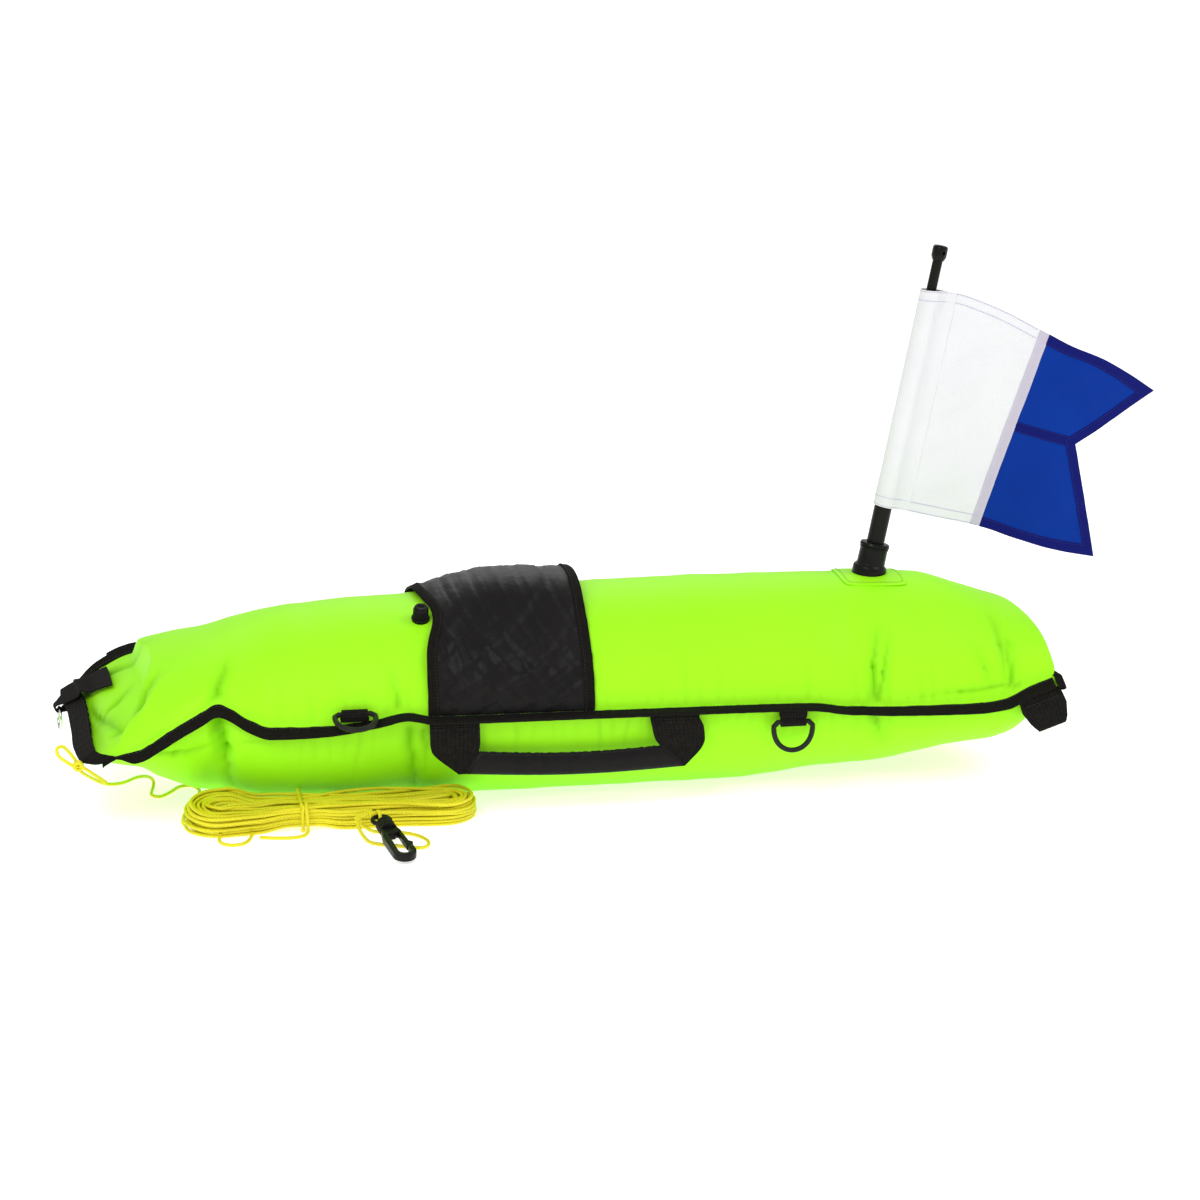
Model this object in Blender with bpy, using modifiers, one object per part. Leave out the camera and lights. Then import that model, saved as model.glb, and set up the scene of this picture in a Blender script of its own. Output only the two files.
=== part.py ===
"""Inflatable spearfishing float with a mast, a swallowtail flag and a tow line.

Metres, +Z up, nose towards -X, tail towards +X. The origin is the middle of the flat patch that the
underside makes on the ground. Near side means -Y, far side means +Y.
"""

import math

import bmesh
import bpy
import numpy as np
from mathutils import Matrix, Vector

for old in list(bpy.data.objects):
    bpy.data.objects.remove(old, do_unlink=True)

# Hull: two coated fabric panels, welded together along a flange that runs all the way round
hull_length = 0.920
hull_height = 0.196
hull_half_width = 0.118
nose_x = -0.454
skin = 0.0007
panel_gap = 0.0012
side_flange = 0.0135
nose_flange = 0.020
tail_flange = 0.012
nose_skew = 0.016
flange_droop = math.radians(24)
nose_droop = math.radians(30)
droop_from = 0.80

# Outlines along the hull: fraction of its length, fraction of its height
crest_line = (
    (0, 0.286), (0.015, 0.50), (0.0315, 0.638), (0.048, 0.73), (0.063, 0.77), (0.112, 0.837),
    (0.154, 0.893), (0.218, 0.934), (0.325, 0.964), (0.521, 0.99), (0.652, 1.0), (0.809, 0.99),
    (0.900, 0.964), (0.961, 0.867), (0.985, 0.80), (0.9946, 0.70), (1, 0.51),
)
keel_line = (
    (0, 0.286), (0.010, 0.214), (0.037, 0.179), (0.059, 0.148), (0.108, 0.061), (0.167, 0.005),
    (0.222, -0.026), (0.30, -0.03), (0.68, -0.03), (0.733, -0.005), (0.776, 0.02), (0.841, 0.041),
    (0.9065, 0.077), (0.97, 0.117), (0.991, 0.204), (1, 0.51),
)
near_seam = (
    (0, 0.337), (0.029, 0.413), (0.053, 0.474), (0.079, 0.541), (0.103, 0.592), (0.1185, 0.622),
    (0.134, 0.597), (0.151, 0.546), (0.175, 0.50), (0.236, 0.49), (0.286, 0.51), (0.315, 0.535),
    (0.345, 0.51), (0.511, 0.50), (0.745, 0.485), (0.80, 0.450), (0.925, 0.444), (0.955, 0.46),
    (0.975, 0.51), (1, 0.561),
)
far_seam = (
    (0, 0.418), (0.02, 0.495), (0.045, 0.555), (0.09, 0.595), (0.1185, 0.60), (0.16, 0.54),
    (0.22, 0.505), (0.5, 0.50), (0.8, 0.46), (0.93, 0.45), (1, 0.55),
)
pinches = ((0.1185, 0.05), (0.80, 0.04))
pinch_reach = 0.018
nose_zone = 0.2
stations = (
    0, 0.006, 0.015, 0.028, 0.045, 0.065, 0.085, 0.103, 0.1185, 0.134, 0.155, 0.18, 0.21,
    0.25, 0.295, 0.316, 0.345, 0.42, 0.50, 0.58, 0.66, 0.74, 0.782, 0.80, 0.818, 0.86,
    0.905, 0.935, 0.955, 0.972, 0.985, 0.9946, 1,
)
columns = 14

# Edge binding and webbing
fit_gap = 0.0003
binding_thickness = 0.0010
binding_inset = 0.0015
tape_play = 0.0004
band_thickness = 0.0014
webbing = 0.0022

# Sleeve over the top of the hull
sleeve_nose_x = -0.142
sleeve_tail_x = 0.018
sleeve_thickness = 0.0007
sleeve_lift = 0.0005
sleeve_edge = 0.022
hem_width = 0.010
hem_thickness = 0.0006

# Inflation valve, beside the sleeve
valve_x = -0.1415
valve_across = 0.345
valve_flange_radius = 0.0088
valve_flange_height = 0.002
valve_stem_radius = 0.0062
valve_stem_height = 0.010
valve_cap_radius = 0.0076
valve_cap_height = 0.011
valve_bore = 0.0019
sleeve_notch = 0.0125

# Mast: base welded on a patch, tube standing in its socket, rod standing in the tube
mast_x = 0.320
mast_across = 0.5
mast_lean = math.radians(11.4)
patch_length = 0.050
patch_width = 0.054
patch_thickness = 0.0006
base_flange_radius = 0.017
base_flange_height = 0.0065
base_lift = 0.0035
socket_radius = 0.0138
socket_height = 0.025
socket_floor = 0.0055
mast_tube_radius = 0.009
mast_tube_top = 0.185
socket_play = 0.0004
collar_radius = 0.0143
collar_height = 0.0036
mast_rod_radius = 0.005
rod_depth = 0.085
rod_play = 0.0003
mast_height = 0.326
cap_radius = 0.0078
cap_height = 0.012
cap_hole_radius = 0.0018

# Flag, in the mast's own frame: distance out from the mast's axis, height up the mast
flag_low = 0.072
flag_high = 0.294
flag_tube_radius = 0.0102
flag_stitch_x = 0.022
flag_cloth = 0.0006
flag_tape = 0.0011
flag_seam_low = (0.0966, 0.0746)
flag_seam_high = (0.1233, 0.2769)
flag_high_tip = (0.2367, 0.2441)
flag_notch = (0.1714, 0.1744)
flag_low_tip = (0.2137, 0.0696)
flag_tape_width = 0.010
flag_top_bulge = 0.006
flag_wave = 0.007

# Carrying handle on the near side
handle_left_x = -0.142
handle_right_x = 0.120
handle_leg_width = 0.048
handle_drop = 0.050
grip_height = 0.0235
grip_thickness = 0.0085
grip_left_x = -0.104
grip_right_x = 0.088
cover_thickness = 0.0009

# D-rings, hung in webbing tabs under the binding
ring_places = (-0.213, 0.214)
ring_width = 0.044
ring_drop = 0.034
ring_wire = 0.0052
ring_tab_width = 0.027
ring_tab_drop = 0.012
ring_tab_thickness = 0.0014
standing_tab_share = 0.35
standing_tab_reach = 0.0052
standing_tab_lift = 0.0011
standing_tab_tilt = math.radians(160)
standing_ring_tilt = math.radians(75)

# Tow ring and its strap at the nose
tow_across = 0.80
tow_strap_width = 0.025
tow_strap_thickness = 0.0016
tow_ring_radius = 0.0115
tow_ring_wire = 0.0034

# Grab loop at the near corner of the tail
tail_loop_width = 0.042
tail_loop_drop = 0.046
tail_loop_gap = 0.008
tail_loop_inset = 0.026

# Tow line, folded into a hank that is tied at its waist
line = 0.0034
hank_middle = (-0.2365, -0.1125)
hank_half_length = 0.1385
hank_inner = 0.0065
hank_spread = 0.0275
hank_turns_per_layer = 5
hank_layers = 4
hank_turns = 19 + 7 / 24
hank_layer_pitch = 0.0062
hank_waist_pitch = 0.0041
hank_waist_share = 0.78
hank_waist_reach = 0.030
hank_tie_x = -0.266
hank_lean = 0.0014
loop_points = 24

# Swivel snap on the end of the line
clip_eye_end = Vector((-0.1970, -0.1660, 0.0205))
clip_length = 0.0905
clip_yaw = math.radians(12)
clip_pitch = math.radians(9.0)
clip_thickness = 0.0080
eye_radius = 0.0105
eye_wire = 0.0045
collar_start = 0.0185
collar_end = 0.0330
clip_collar_radius = 0.0085
swivel_pin_radius = 0.0028
swivel_play = 0.0004
hook_radius = 0.0125
hook_wire = 0.0063
gate_width = 0.0042
gate_length = 0.0300

float_parts = bpy.data.collections.new("spearfishing_float")
cutters = bpy.data.collections.new("cutters")
for group in (float_parts, cutters):
    bpy.context.scene.collection.children.link(group)


def finish(name, colour, roughness, metallic=0.0):
    """A plain material of one colour."""
    made = bpy.data.materials.new(name)
    made.use_nodes = True
    shader = made.node_tree.nodes["Principled BSDF"]
    shader.inputs["Base Color"].default_value = (*colour, 1)
    shader.inputs["Roughness"].default_value = roughness
    shader.inputs["Metallic"].default_value = metallic
    return made


coated_fabric = finish("coated_fabric", (0.36, 0.92, 0.02), 0.42)
black_tape = finish("black_tape", (0.012, 0.011, 0.010), 0.75)
black_webbing = finish("black_webbing", (0.016, 0.015, 0.014), 0.85)
black_nylon = finish("black_nylon", (0.032, 0.030, 0.029), 0.6)
black_plastic = finish("black_plastic", (0.010, 0.010, 0.010), 0.3)
carbon_rod = finish("carbon_rod", (0.014, 0.014, 0.014), 0.5)
steel = finish("steel", (0.62, 0.61, 0.58), 0.2, 1.0)
yellow_line = finish("yellow_line", (0.80, 0.74, 0.03), 0.55)
white_cloth = finish("white_cloth", (0.82, 0.83, 0.84), 0.7)
seam_cloth = finish("seam_cloth", (0.60, 0.57, 0.66), 0.7)
blue_cloth = finish("blue_cloth", (0.0, 0.035, 0.42), 0.7)
navy_cloth = finish("navy_cloth", (0.012, 0.010, 0.26), 0.7)


def keep(name, mesh, material, group=None):
    """Puts a mesh or a curve in the model as one named object."""
    made = bpy.data.objects.new(name, mesh)
    (group or float_parts).objects.link(made)
    if material:
        mesh.materials.append(material)
    return made


def sheet(name, rows, cols, place, thickness, material, side=0, group=None):
    """A grid laid over a surface and given a thickness. side 1 thickens it along its normal."""
    bm = bmesh.new()
    bmesh.ops.create_grid(bm, x_segments=rows, y_segments=cols, size=0.5)
    for vert in bm.verts:
        row = round((vert.co.x + 0.5) * rows)
        col = round((vert.co.y + 0.5) * cols)
        vert.co = place(row, col)
    mesh = bpy.data.meshes.new(name)
    bm.to_mesh(mesh)
    bm.free()
    made = keep(name, mesh, material, group)
    solidify = made.modifiers.new("wall", "SOLIDIFY")
    solidify.thickness = thickness
    solidify.offset = side
    solidify.use_even_offset = True
    return made


def turned(name, profile, steps, material, group=None):
    """A profile of radius and height, top to bottom down its outer side, spun about +Z."""
    bm = bmesh.new()
    verts = [bm.verts.new((radius, 0, height)) for radius, height in profile]
    for first, second in zip(verts, verts[1:]):
        bm.edges.new((first, second))
    if profile[0][0] > 0:
        bm.edges.new((verts[-1], verts[0]))
    mesh = bpy.data.meshes.new(name)
    bm.to_mesh(mesh)
    bm.free()
    made = keep(name, mesh, material, group)
    screw = made.modifiers.new("spin", "SCREW")
    screw.axis = "Z"
    screw.steps = steps
    screw.render_steps = steps
    screw.use_merge_vertices = True
    screw.merge_threshold = 0.00001
    screw.use_smooth_shade = True
    return made


def tube(name, points, diameter, material, resolution=2, cyclic=False):
    """A round tube along a line of points."""
    curve = bpy.data.curves.new(name, "CURVE")
    curve.dimensions = "3D"
    curve.bevel_depth = diameter / 2
    curve.bevel_resolution = resolution
    curve.use_fill_caps = not cyclic
    spline = curve.splines.new("POLY")
    spline.points.add(len(points) - 1)
    for point, place in zip(spline.points, points):
        point.co = (*place, 1)
    spline.use_cyclic_u = cyclic
    return keep(name, curve, material)


def plate(name, outline, thickness, material, bevel=0.0):
    """A flat outline in XY, given a thickness about Z = 0."""
    curve = bpy.data.curves.new(name, "CURVE")
    curve.dimensions = "2D"
    curve.fill_mode = "BOTH"
    curve.extrude = thickness / 2 - bevel
    curve.bevel_depth = bevel
    curve.bevel_resolution = 1 if bevel else 0
    curve.offset = -bevel
    spline = curve.splines.new("POLY")
    spline.points.add(len(outline) - 1)
    for point, (x, y) in zip(spline.points, outline):
        point.co = (x, y, 0, 1)
    spline.use_cyclic_u = True
    return keep(name, curve, material)


def as_mesh(curve_object):
    """Turns a curve object into a mesh object, with its caps welded on."""
    graph = bpy.context.evaluated_depsgraph_get()
    graph.update()
    mesh = bpy.data.meshes.new_from_object(curve_object.evaluated_get(graph))
    bm = bmesh.new()
    bm.from_mesh(mesh)
    bmesh.ops.remove_doubles(bm, verts=bm.verts, dist=0.00001)
    bmesh.ops.recalc_face_normals(bm, faces=bm.faces)
    bm.to_mesh(mesh)
    bm.free()
    name = curve_object.name
    matrix = curve_object.matrix_world.copy()
    materials = list(curve_object.data.materials)
    group = curve_object.users_collection[0]
    bpy.data.objects.remove(curve_object, do_unlink=True)
    made = bpy.data.objects.new(name, mesh)
    group.objects.link(made)
    mesh.materials.clear()
    for material in materials:
        mesh.materials.append(material)
    made.matrix_world = matrix
    return made


def combine(target, other, operation):
    """Cuts the other object out of the target, or joins it on."""
    if operation == "DIFFERENCE":
        other.hide_render = True
        other.display_type = "WIRE"
        change = target.modifiers.new(other.name, "BOOLEAN")
        change.operation = operation
        change.object = other
        return
    change = target.modifiers.new(other.name, "BOOLEAN")
    change.operation = operation
    change.object = other
    graph = bpy.context.evaluated_depsgraph_get()
    graph.update()
    joined = bpy.data.meshes.new_from_object(target.evaluated_get(graph))
    target.modifiers.clear()
    target.data = joined
    bpy.data.objects.remove(other, do_unlink=True)


def through(points, at):
    """A smooth curve through points (x, y) that never overshoots them, read at one x."""
    xs = np.array([p[0] for p in points], float)
    ys = np.array([p[1] for p in points], float)
    steps = np.diff(xs)
    rises = np.diff(ys) / steps
    slopes = np.zeros(len(xs))
    slopes[0], slopes[-1] = rises[0], rises[-1]
    for i in range(1, len(xs) - 1):
        if rises[i - 1] * rises[i] > 0:
            slopes[i] = 2 * rises[i - 1] * rises[i] / (rises[i - 1] + rises[i])
    i = int(np.clip(np.searchsorted(xs, at) - 1, 0, len(steps) - 1))
    t = (at - xs[i]) / steps[i]
    bow = t * t * (3 - 2 * t)
    return float(
        ys[i] * (1 - bow) + ys[i + 1] * bow
        + steps[i] * (slopes[i] * t * (1 - t) ** 2 - slopes[i + 1] * t * t * (1 - t))
    )


# Hull surface. f runs from 0 at the nose to 1 at the tail, t from 0 at the near weld to 1 at the far weld
stand = panel_gap / 2 + skin


def along(x):
    """The fraction of the hull's length at a distance x, away from the skewed nose."""
    return (x - nose_x) / hull_length


def weld(f, t):
    """A point of the seam between the two panels, and the rise of their surfaces above it."""
    across = -math.cos(math.pi * t)
    near = through(near_seam, f) * hull_height
    far = through(far_seam, f) * hull_height
    width = hull_half_width
    for place, depth in pinches:
        width *= 1 - depth * math.exp(-(((f - place) / pinch_reach) ** 2))
    fade = max(0.0, 1 - f / nose_zone) ** 2
    x = nose_x + f * hull_length - across * nose_skew * fade
    return Vector((x, across * width, near + (far - near) * (across + 1) / 2)), (near + far) / 2


def hull_point(f, t, top=True):
    """A point on the outside of the hull."""
    point, middle = weld(f, t)
    edge = through(crest_line if top else keel_line, f) * hull_height
    point.z += (edge - middle) * math.sin(math.pi * t) + (stand if top else -stand)
    point.z = max(0.0, point.z)
    return point


def side_out(f, side):
    """The way the flange points out of the hull's side: it droops towards both ends."""
    end = max(0.0, 1 - f / nose_zone, (f - droop_from) / (1 - droop_from) * 0.7)
    droop = flange_droop * min(1.0, end * 1.5)
    return Vector((0, side * math.cos(droop), -math.sin(droop)))


nose_out = Vector((-math.cos(nose_droop), 0, -math.sin(nose_droop)))
tail_out = Vector((1, 0, 0))
last = len(stations) - 1


def edge_up(points, i, out):
    """The way up from a flange, square to it, where its seam turns a corner at one of its points."""
    before = points[i] - points[i - 1] if i else points[1] - points[0]
    after = points[i + 1] - points[i] if i + 1 < len(points) else before
    before = before.normalized()
    middle = (before + after.normalized()).normalized()
    up = out.cross(middle).normalized()
    if up.z < 0:
        up = -up
    return up / max(0.7, middle.dot(before))


seam_points = {side: [weld(f, t)[0] for f in stations] for side, t in ((-1, 0), (1, 1))}
end_points = {i: [weld(stations[i], j / columns)[0] for j in range(columns + 1)] for i in (0, last)}


def side_frame(i, side):
    """Seam point, way out and way up at one station of a side."""
    out = side_out(stations[i], side)
    up = edge_up(seam_points[side], i, out)
    if i in (0, last):
        up = (up + end_frame(i, 0 if side < 0 else columns, False)[2]) / 2 * 1.06
    return seam_points[side][i], out, up


def end_frame(i, j, corner=True):
    """Seam point, way out and way up at one column of the nose or the tail."""
    out = tail_out if i else nose_out
    up = edge_up(end_points[i], j, out)
    if corner and j in (0, columns):
        up = side_frame(i, -1 if j == 0 else 1)[2]
    return end_points[i][j], out, up


def panel_vertex(row, col, top):
    """Grid point of a hull panel. The first and last rows and columns are the flange's edge."""
    i = min(max(row - 1, 0), last)
    j = min(max(col - 1, 0), columns)
    rise = stand if top else -stand
    if j in (0, columns):
        side = -1 if j == 0 else 1
        seam, out, up = side_frame(i, side)
        point = seam + up * rise
        if col in (0, columns + 2):
            point = point + out * side_flange
    elif i in (0, last):
        seam, out, up = end_frame(i, j)
        point = seam + up * rise
    else:
        point = hull_point(stations[i], j / columns, top)
    if row == 0:
        point = point + nose_out * nose_flange
    if row == last + 2:
        point = point + tail_out * tail_flange
    return point


def hull_panel(name, top):
    sheet(
        name, last + 2, columns + 2, lambda row, col: panel_vertex(row, col, top),
        skin, coated_fabric, side=-1 if top else 1,
    )


hull_panel("hull_top_panel", True)
hull_panel("hull_bottom_panel", False)


def cell_of(values, at):
    i = min(max(int(np.searchsorted(values, at, side="right")) - 1, 0), len(values) - 2)
    return i, (at - values[i]) / (values[i + 1] - values[i])


column_places = [j / columns for j in range(columns + 1)]


def hull_facet(f, t, lift=0.0):
    """A point on the flat facets of the hull's top, raised along the surface's normal."""
    i, along_cell = cell_of(stations, f)
    j, across_cell = cell_of(column_places, t)
    corners = [[panel_vertex(i + a + 1, j + b + 1, True) for a in (0, 1)] for b in (0, 1)]
    first, second = (pair[0].lerp(pair[1], along_cell) for pair in corners)
    small = 0.004
    ahead = hull_point(min(f + small, 1), t) - hull_point(max(f - small, 0), t)
    aside = hull_point(f, min(t + small, 1)) - hull_point(f, max(t - small, 0))
    return first.lerp(second, across_cell) + ahead.cross(aside).normalized() * lift


def between(values, start, end):
    """A start, an end and the hull's own grid lines between them, so that a piece follows its facets."""
    margin = (end - start) * 0.04
    return [start, *(v for v in values if start + margin < v < end - margin), end]


def tape(name, frames, reach, thickness, material, inset=binding_inset, under=0.0):
    """Tape folded round the flange, along frames of seam point, way out and way up."""
    half = stand + fit_gap + tape_play + under
    lip = reach + fit_gap + under
    profile = (
        (inset, half), (lip, half), (lip + half * 0.6, half * 0.4),
        (lip + half * 0.6, -half * 0.4), (lip, -half), (inset, -half),
    )

    def place(row, col):
        point, out, up = frames[row]
        a, b = profile[col]
        return point + out * a + up * b

    return sheet(name, len(frames) - 1, len(profile) - 1, place, thickness, material, side=1)


near_frames = [side_frame(i, -1) for i in range(last, -1, -1)]
far_frames = [side_frame(i, 1) for i in range(last + 1)]


def end_frames(i):
    """Frames along the flange of one end, from corner to corner past both sides."""
    frames = []
    for j in range(columns + 1):
        seam, out, up = end_frame(i, j)
        frames.append((seam, out, up))
        if j == 0:
            frames.insert(0, (seam + side_out(stations[i], -1) * side_flange, out, up))
        if j == columns:
            frames.append((seam + side_out(stations[i], 1) * side_flange, out, up))
    return frames


tape("edge_binding_near", near_frames, side_flange, binding_thickness, black_tape)
tape("edge_binding_far", far_frames, side_flange, binding_thickness, black_tape)
tape("edge_binding_tail", end_frames(last)[::-1], tail_flange, binding_thickness, black_tape)
tape("nose_band", end_frames(0), nose_flange, band_thickness, black_webbing)
tape(
    "far_nose_tab", far_frames[3:5], side_flange, webbing * 0.7, black_webbing,
    under=binding_thickness + 2 * fit_gap,
)


# Sleeve: a nylon panel over the top, sewn down at both seams, with a hem at each end
sleeve_columns = between(column_places, sleeve_edge, 1 - sleeve_edge)
sleeve_rows = between(stations, along(sleeve_nose_x), along(sleeve_tail_x))


def sleeve_start(t):
    """The sleeve's nose end, drawn back beside the valve."""
    return along(sleeve_nose_x + sleeve_notch * math.exp(-(((t - valve_across) / 0.10) ** 2)))


def sleeve_point(row, col):
    t = sleeve_columns[col]
    f = sleeve_start(t) if row == 0 else sleeve_rows[row]
    return hull_facet(f, t, sleeve_lift)


sheet(
    "sleeve_panel", len(sleeve_rows) - 1, len(sleeve_columns) - 1, sleeve_point,
    sleeve_thickness, black_nylon, side=1,
)
hem_lift = sleeve_lift + sleeve_thickness + 2 * fit_gap


def hem(name, share, inward):
    def place(row, col):
        t = sleeve_columns[col]
        start = along(sleeve_tail_x) if share else sleeve_start(t)
        step = inward * hem_width / hull_length * (row if inward > 0 else 1 - row)
        return hull_facet(start + step, t, hem_lift)

    sheet(name, 1, len(sleeve_columns) - 1, place, hem_thickness, black_tape, side=1)


hem("sleeve_hem_nose", 0, 1)
hem("sleeve_hem_tail", 1, -1)


def stand_on(objects, point, direction):
    """Stands turned pieces at a point, with their Z along a direction."""
    turn = direction.to_track_quat("Z", "Y").to_matrix().to_4x4()
    for piece in objects:
        piece.matrix_world = Matrix.Translation(point) @ turn


# Inflation valve: a welded flange with a stem, and a mouthpiece that twists on the stem
valve_point = hull_facet(along(valve_x), valve_across, 0)
valve_up = (hull_facet(along(valve_x), valve_across, 1) - valve_point).normalized()
valve_base = turned(
    "valve_base",
    (
        (valve_bore, valve_stem_height), (valve_stem_radius, valve_stem_height),
        (valve_stem_radius, valve_flange_height), (valve_flange_radius, valve_flange_height),
        (valve_flange_radius, fit_gap), (valve_bore, fit_gap),
    ),
    16, black_plastic,
)
cap_wall = valve_stem_radius + fit_gap
cap_low = valve_flange_height + fit_gap
cap_roof = valve_stem_height + fit_gap
valve_mouthpiece = turned(
    "valve_mouthpiece",
    (
        (valve_bore, cap_low + valve_cap_height), (valve_stem_radius, cap_low + valve_cap_height),
        (valve_cap_radius, cap_low + valve_cap_height * 0.8), (valve_cap_radius, cap_low),
        (cap_wall, cap_low), (cap_wall, cap_roof), (valve_bore, cap_roof),
    ),
    16, black_plastic,
)
valve_lift = 0.0010
stand_on((valve_base, valve_mouthpiece), valve_point + valve_up * valve_lift, valve_up)

# Mast patch: a square of hull fabric with the base welded on it
mast_f = along(mast_x)
patch_gap = 0.0005


def patch_sheet(name, scale, lift, thickness, material, side, group=None):
    """A sheet over the hull under the mast, cut along the hull's own grid lines."""
    reach = scale * patch_length / hull_length / 2
    spread = scale * patch_width / (math.pi * hull_half_width) / 2
    rows = between(stations, mast_f - reach, mast_f + reach)
    cols = between(column_places, mast_across - spread, mast_across + spread)
    return sheet(
        name, len(rows) - 1, len(cols) - 1, lambda row, col: hull_facet(rows[row], cols[col], lift),
        thickness, material, side=side, group=group,
    )


patch_sheet("mast_patch", 1.0, patch_gap, patch_thickness, coated_fabric, 1)

# Mast frame: Z runs up the mast, X leans down towards the tail
mast_foot = hull_facet(mast_f, mast_across, 0)
mast_up = Vector((math.sin(mast_lean), 0, math.cos(mast_lean)))
mast_frame = Matrix.Translation(mast_foot) @ Matrix.Rotation(mast_lean, 4, "Y")
base_low = -0.008
socket_wall = mast_tube_radius + socket_play
mast_base = turned(
    "mast_base",
    (
        (0, base_lift + socket_floor), (socket_wall, base_lift + socket_floor),
        (socket_wall, base_lift + socket_height), (socket_radius, base_lift + socket_height),
        (socket_radius, base_lift + base_flange_height + 0.001),
        (base_flange_radius, base_lift + base_flange_height), (base_flange_radius, base_low),
        (0, base_low),
    ),
    24, black_plastic,
)
mast_base.matrix_world = mast_frame
seat_lift = patch_gap + patch_thickness + fit_gap
seat = patch_sheet("hull_under_base", 1.5, seat_lift, 0.03, None, -1, group=cutters)
combine(mast_base, seat, "DIFFERENCE")

tube_low = base_lift + socket_floor + fit_gap
rod_bore = mast_rod_radius + rod_play
rod_low = mast_tube_top - rod_depth
mast_tube = turned(
    "mast_tube",
    (
        (0, rod_low), (rod_bore, rod_low), (rod_bore, mast_tube_top),
        (mast_tube_radius - 0.001, mast_tube_top), (mast_tube_radius, mast_tube_top - 0.001),
        (mast_tube_radius, tube_low), (0, tube_low),
    ),
    20, carbon_rod,
)
collar_low = base_lift + socket_height + fit_gap
mast_collar = turned(
    "mast_collar",
    (
        (mast_tube_radius + fit_gap, collar_low + collar_height),
        (collar_radius - 0.0008, collar_low + collar_height),
        (collar_radius, collar_low + collar_height / 2),
        (collar_radius - 0.0012, collar_low),
        (mast_tube_radius + fit_gap, collar_low),
    ),
    24, black_plastic,
)
rod_high = mast_height - cap_height + 0.001
mast_rod = turned(
    "mast_rod",
    ((0, rod_high), (mast_rod_radius, rod_high), (mast_rod_radius, rod_low + fit_gap), (0, rod_low + fit_gap)),
    16, carbon_rod,
)
cap_low = rod_high + fit_gap
cap_skirt = 0.005
mast_cap = turned(
    "mast_cap",
    (
        (0, cap_low + cap_height - 0.001), (cap_radius - 0.0015, cap_low + cap_height - 0.001),
        (cap_radius, cap_low + cap_height - 0.003), (cap_radius, cap_low - cap_skirt + 0.001),
        (cap_radius - 0.001, cap_low - cap_skirt), (mast_rod_radius + fit_gap, cap_low - cap_skirt),
        (mast_rod_radius + fit_gap, cap_low), (0, cap_low),
    ),
    16, black_plastic,
)
for piece in (mast_tube, mast_collar, mast_rod, mast_cap):
    piece.matrix_world = mast_frame
cap_hole = turned(
    "cap_hole",
    ((0, 0.012), (cap_hole_radius, 0.012), (cap_hole_radius, -0.012), (0, -0.012)), 8, None, group=cutters,
)
cap_hole.matrix_world = (
    mast_frame @ Matrix.Translation((0, 0, cap_low + cap_height * 0.45)) @ Matrix.Rotation(math.pi / 2, 4, "X")
)
combine(mast_cap, cap_hole, "DIFFERENCE")


# Flag. Its pieces share one gently waving surface
def flag_point(x, z):
    """A point of the flag's cloth, from its place in the mast's frame."""
    reach = max(0.0, x - flag_stitch_x)
    span = flag_high_tip[0] - flag_stitch_x
    wave = math.sin(2.2 * math.pi * reach / span + 3.0 * (z - flag_low))
    depth = flag_wave * wave * min(1.0, reach / (0.35 * span))
    return mast_frame @ Vector((x, depth, z))


def mix(first, second, share):
    return tuple(a + (b - a) * share for a, b in zip(first, second))


def flag_quad(name, corners, rows, cols, thickness, material, bulge=0.0):
    """Cloth between four corners: two along its lower edge, two along its upper edge."""
    low_start, low_end, high_start, high_end = corners

    def place(row, col):
        low = mix(low_start, low_end, row / rows)
        high = mix(high_start, high_end, row / rows)
        x, z = mix(low, high, col / cols)
        return flag_point(x, z + bulge * math.sin(math.pi * row / rows) * col / cols)

    sheet(name, rows, cols, place, thickness, material)


def shifted(point, dx, dz):
    return (point[0] + dx, point[1] + dz)


half_tape = flag_tape_width / 2
seam_low_left = shifted(flag_seam_low, -flag_tape_width, 0)
seam_high_left = shifted(flag_seam_high, -flag_tape_width, 0)
flag_quad(
    "flag_white_panel",
    (
        (flag_stitch_x + fit_gap, flag_low), shifted(seam_low_left, -fit_gap, 0),
        (flag_stitch_x + fit_gap, flag_high), shifted(seam_high_left, -fit_gap, 0),
    ),
    6, 6, flag_cloth, white_cloth, bulge=flag_top_bulge * 0.5,
)
flag_quad(
    "flag_seam_tape", (seam_low_left, flag_seam_low, seam_high_left, flag_seam_high),
    1, 6, flag_tape, seam_cloth,
)


def flag_pole_sleeve():
    """White cloth folded round the mast and stitched to itself beside it."""
    turns = 10
    open_angle = math.radians(50)
    loop = [(flag_stitch_x, flag_cloth / 2 + fit_gap / 2)]
    for i in range(turns + 1):
        angle = open_angle + (2 * math.pi - 2 * open_angle) * i / turns
        loop.append((flag_tube_radius * math.cos(angle), flag_tube_radius * math.sin(angle)))
    loop.append((flag_stitch_x, -loop[0][1]))

    def place(row, col):
        x, y = loop[col]
        return mast_frame @ Vector((x, y, flag_low + (flag_high - flag_low) * row / 4))

    sheet("flag_pole_sleeve", 4, len(loop) - 1, place, flag_cloth, white_cloth)


flag_pole_sleeve()


def inset_corner(before, corner, after, width):
    """The point inside a corner that lies a width from both of its edges."""
    first = Vector((corner[0] - before[0], corner[1] - before[1])).normalized()
    second = Vector((after[0] - corner[0], after[1] - corner[1])).normalized()
    inward = Vector((first.y, -first.x)) + Vector((second.y, -second.x))
    inward.normalize()
    reach = width / max(0.25, inward.dot(Vector((first.y, -first.x))))
    return (corner[0] + inward.x * reach, corner[1] + inward.y * reach)


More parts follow.
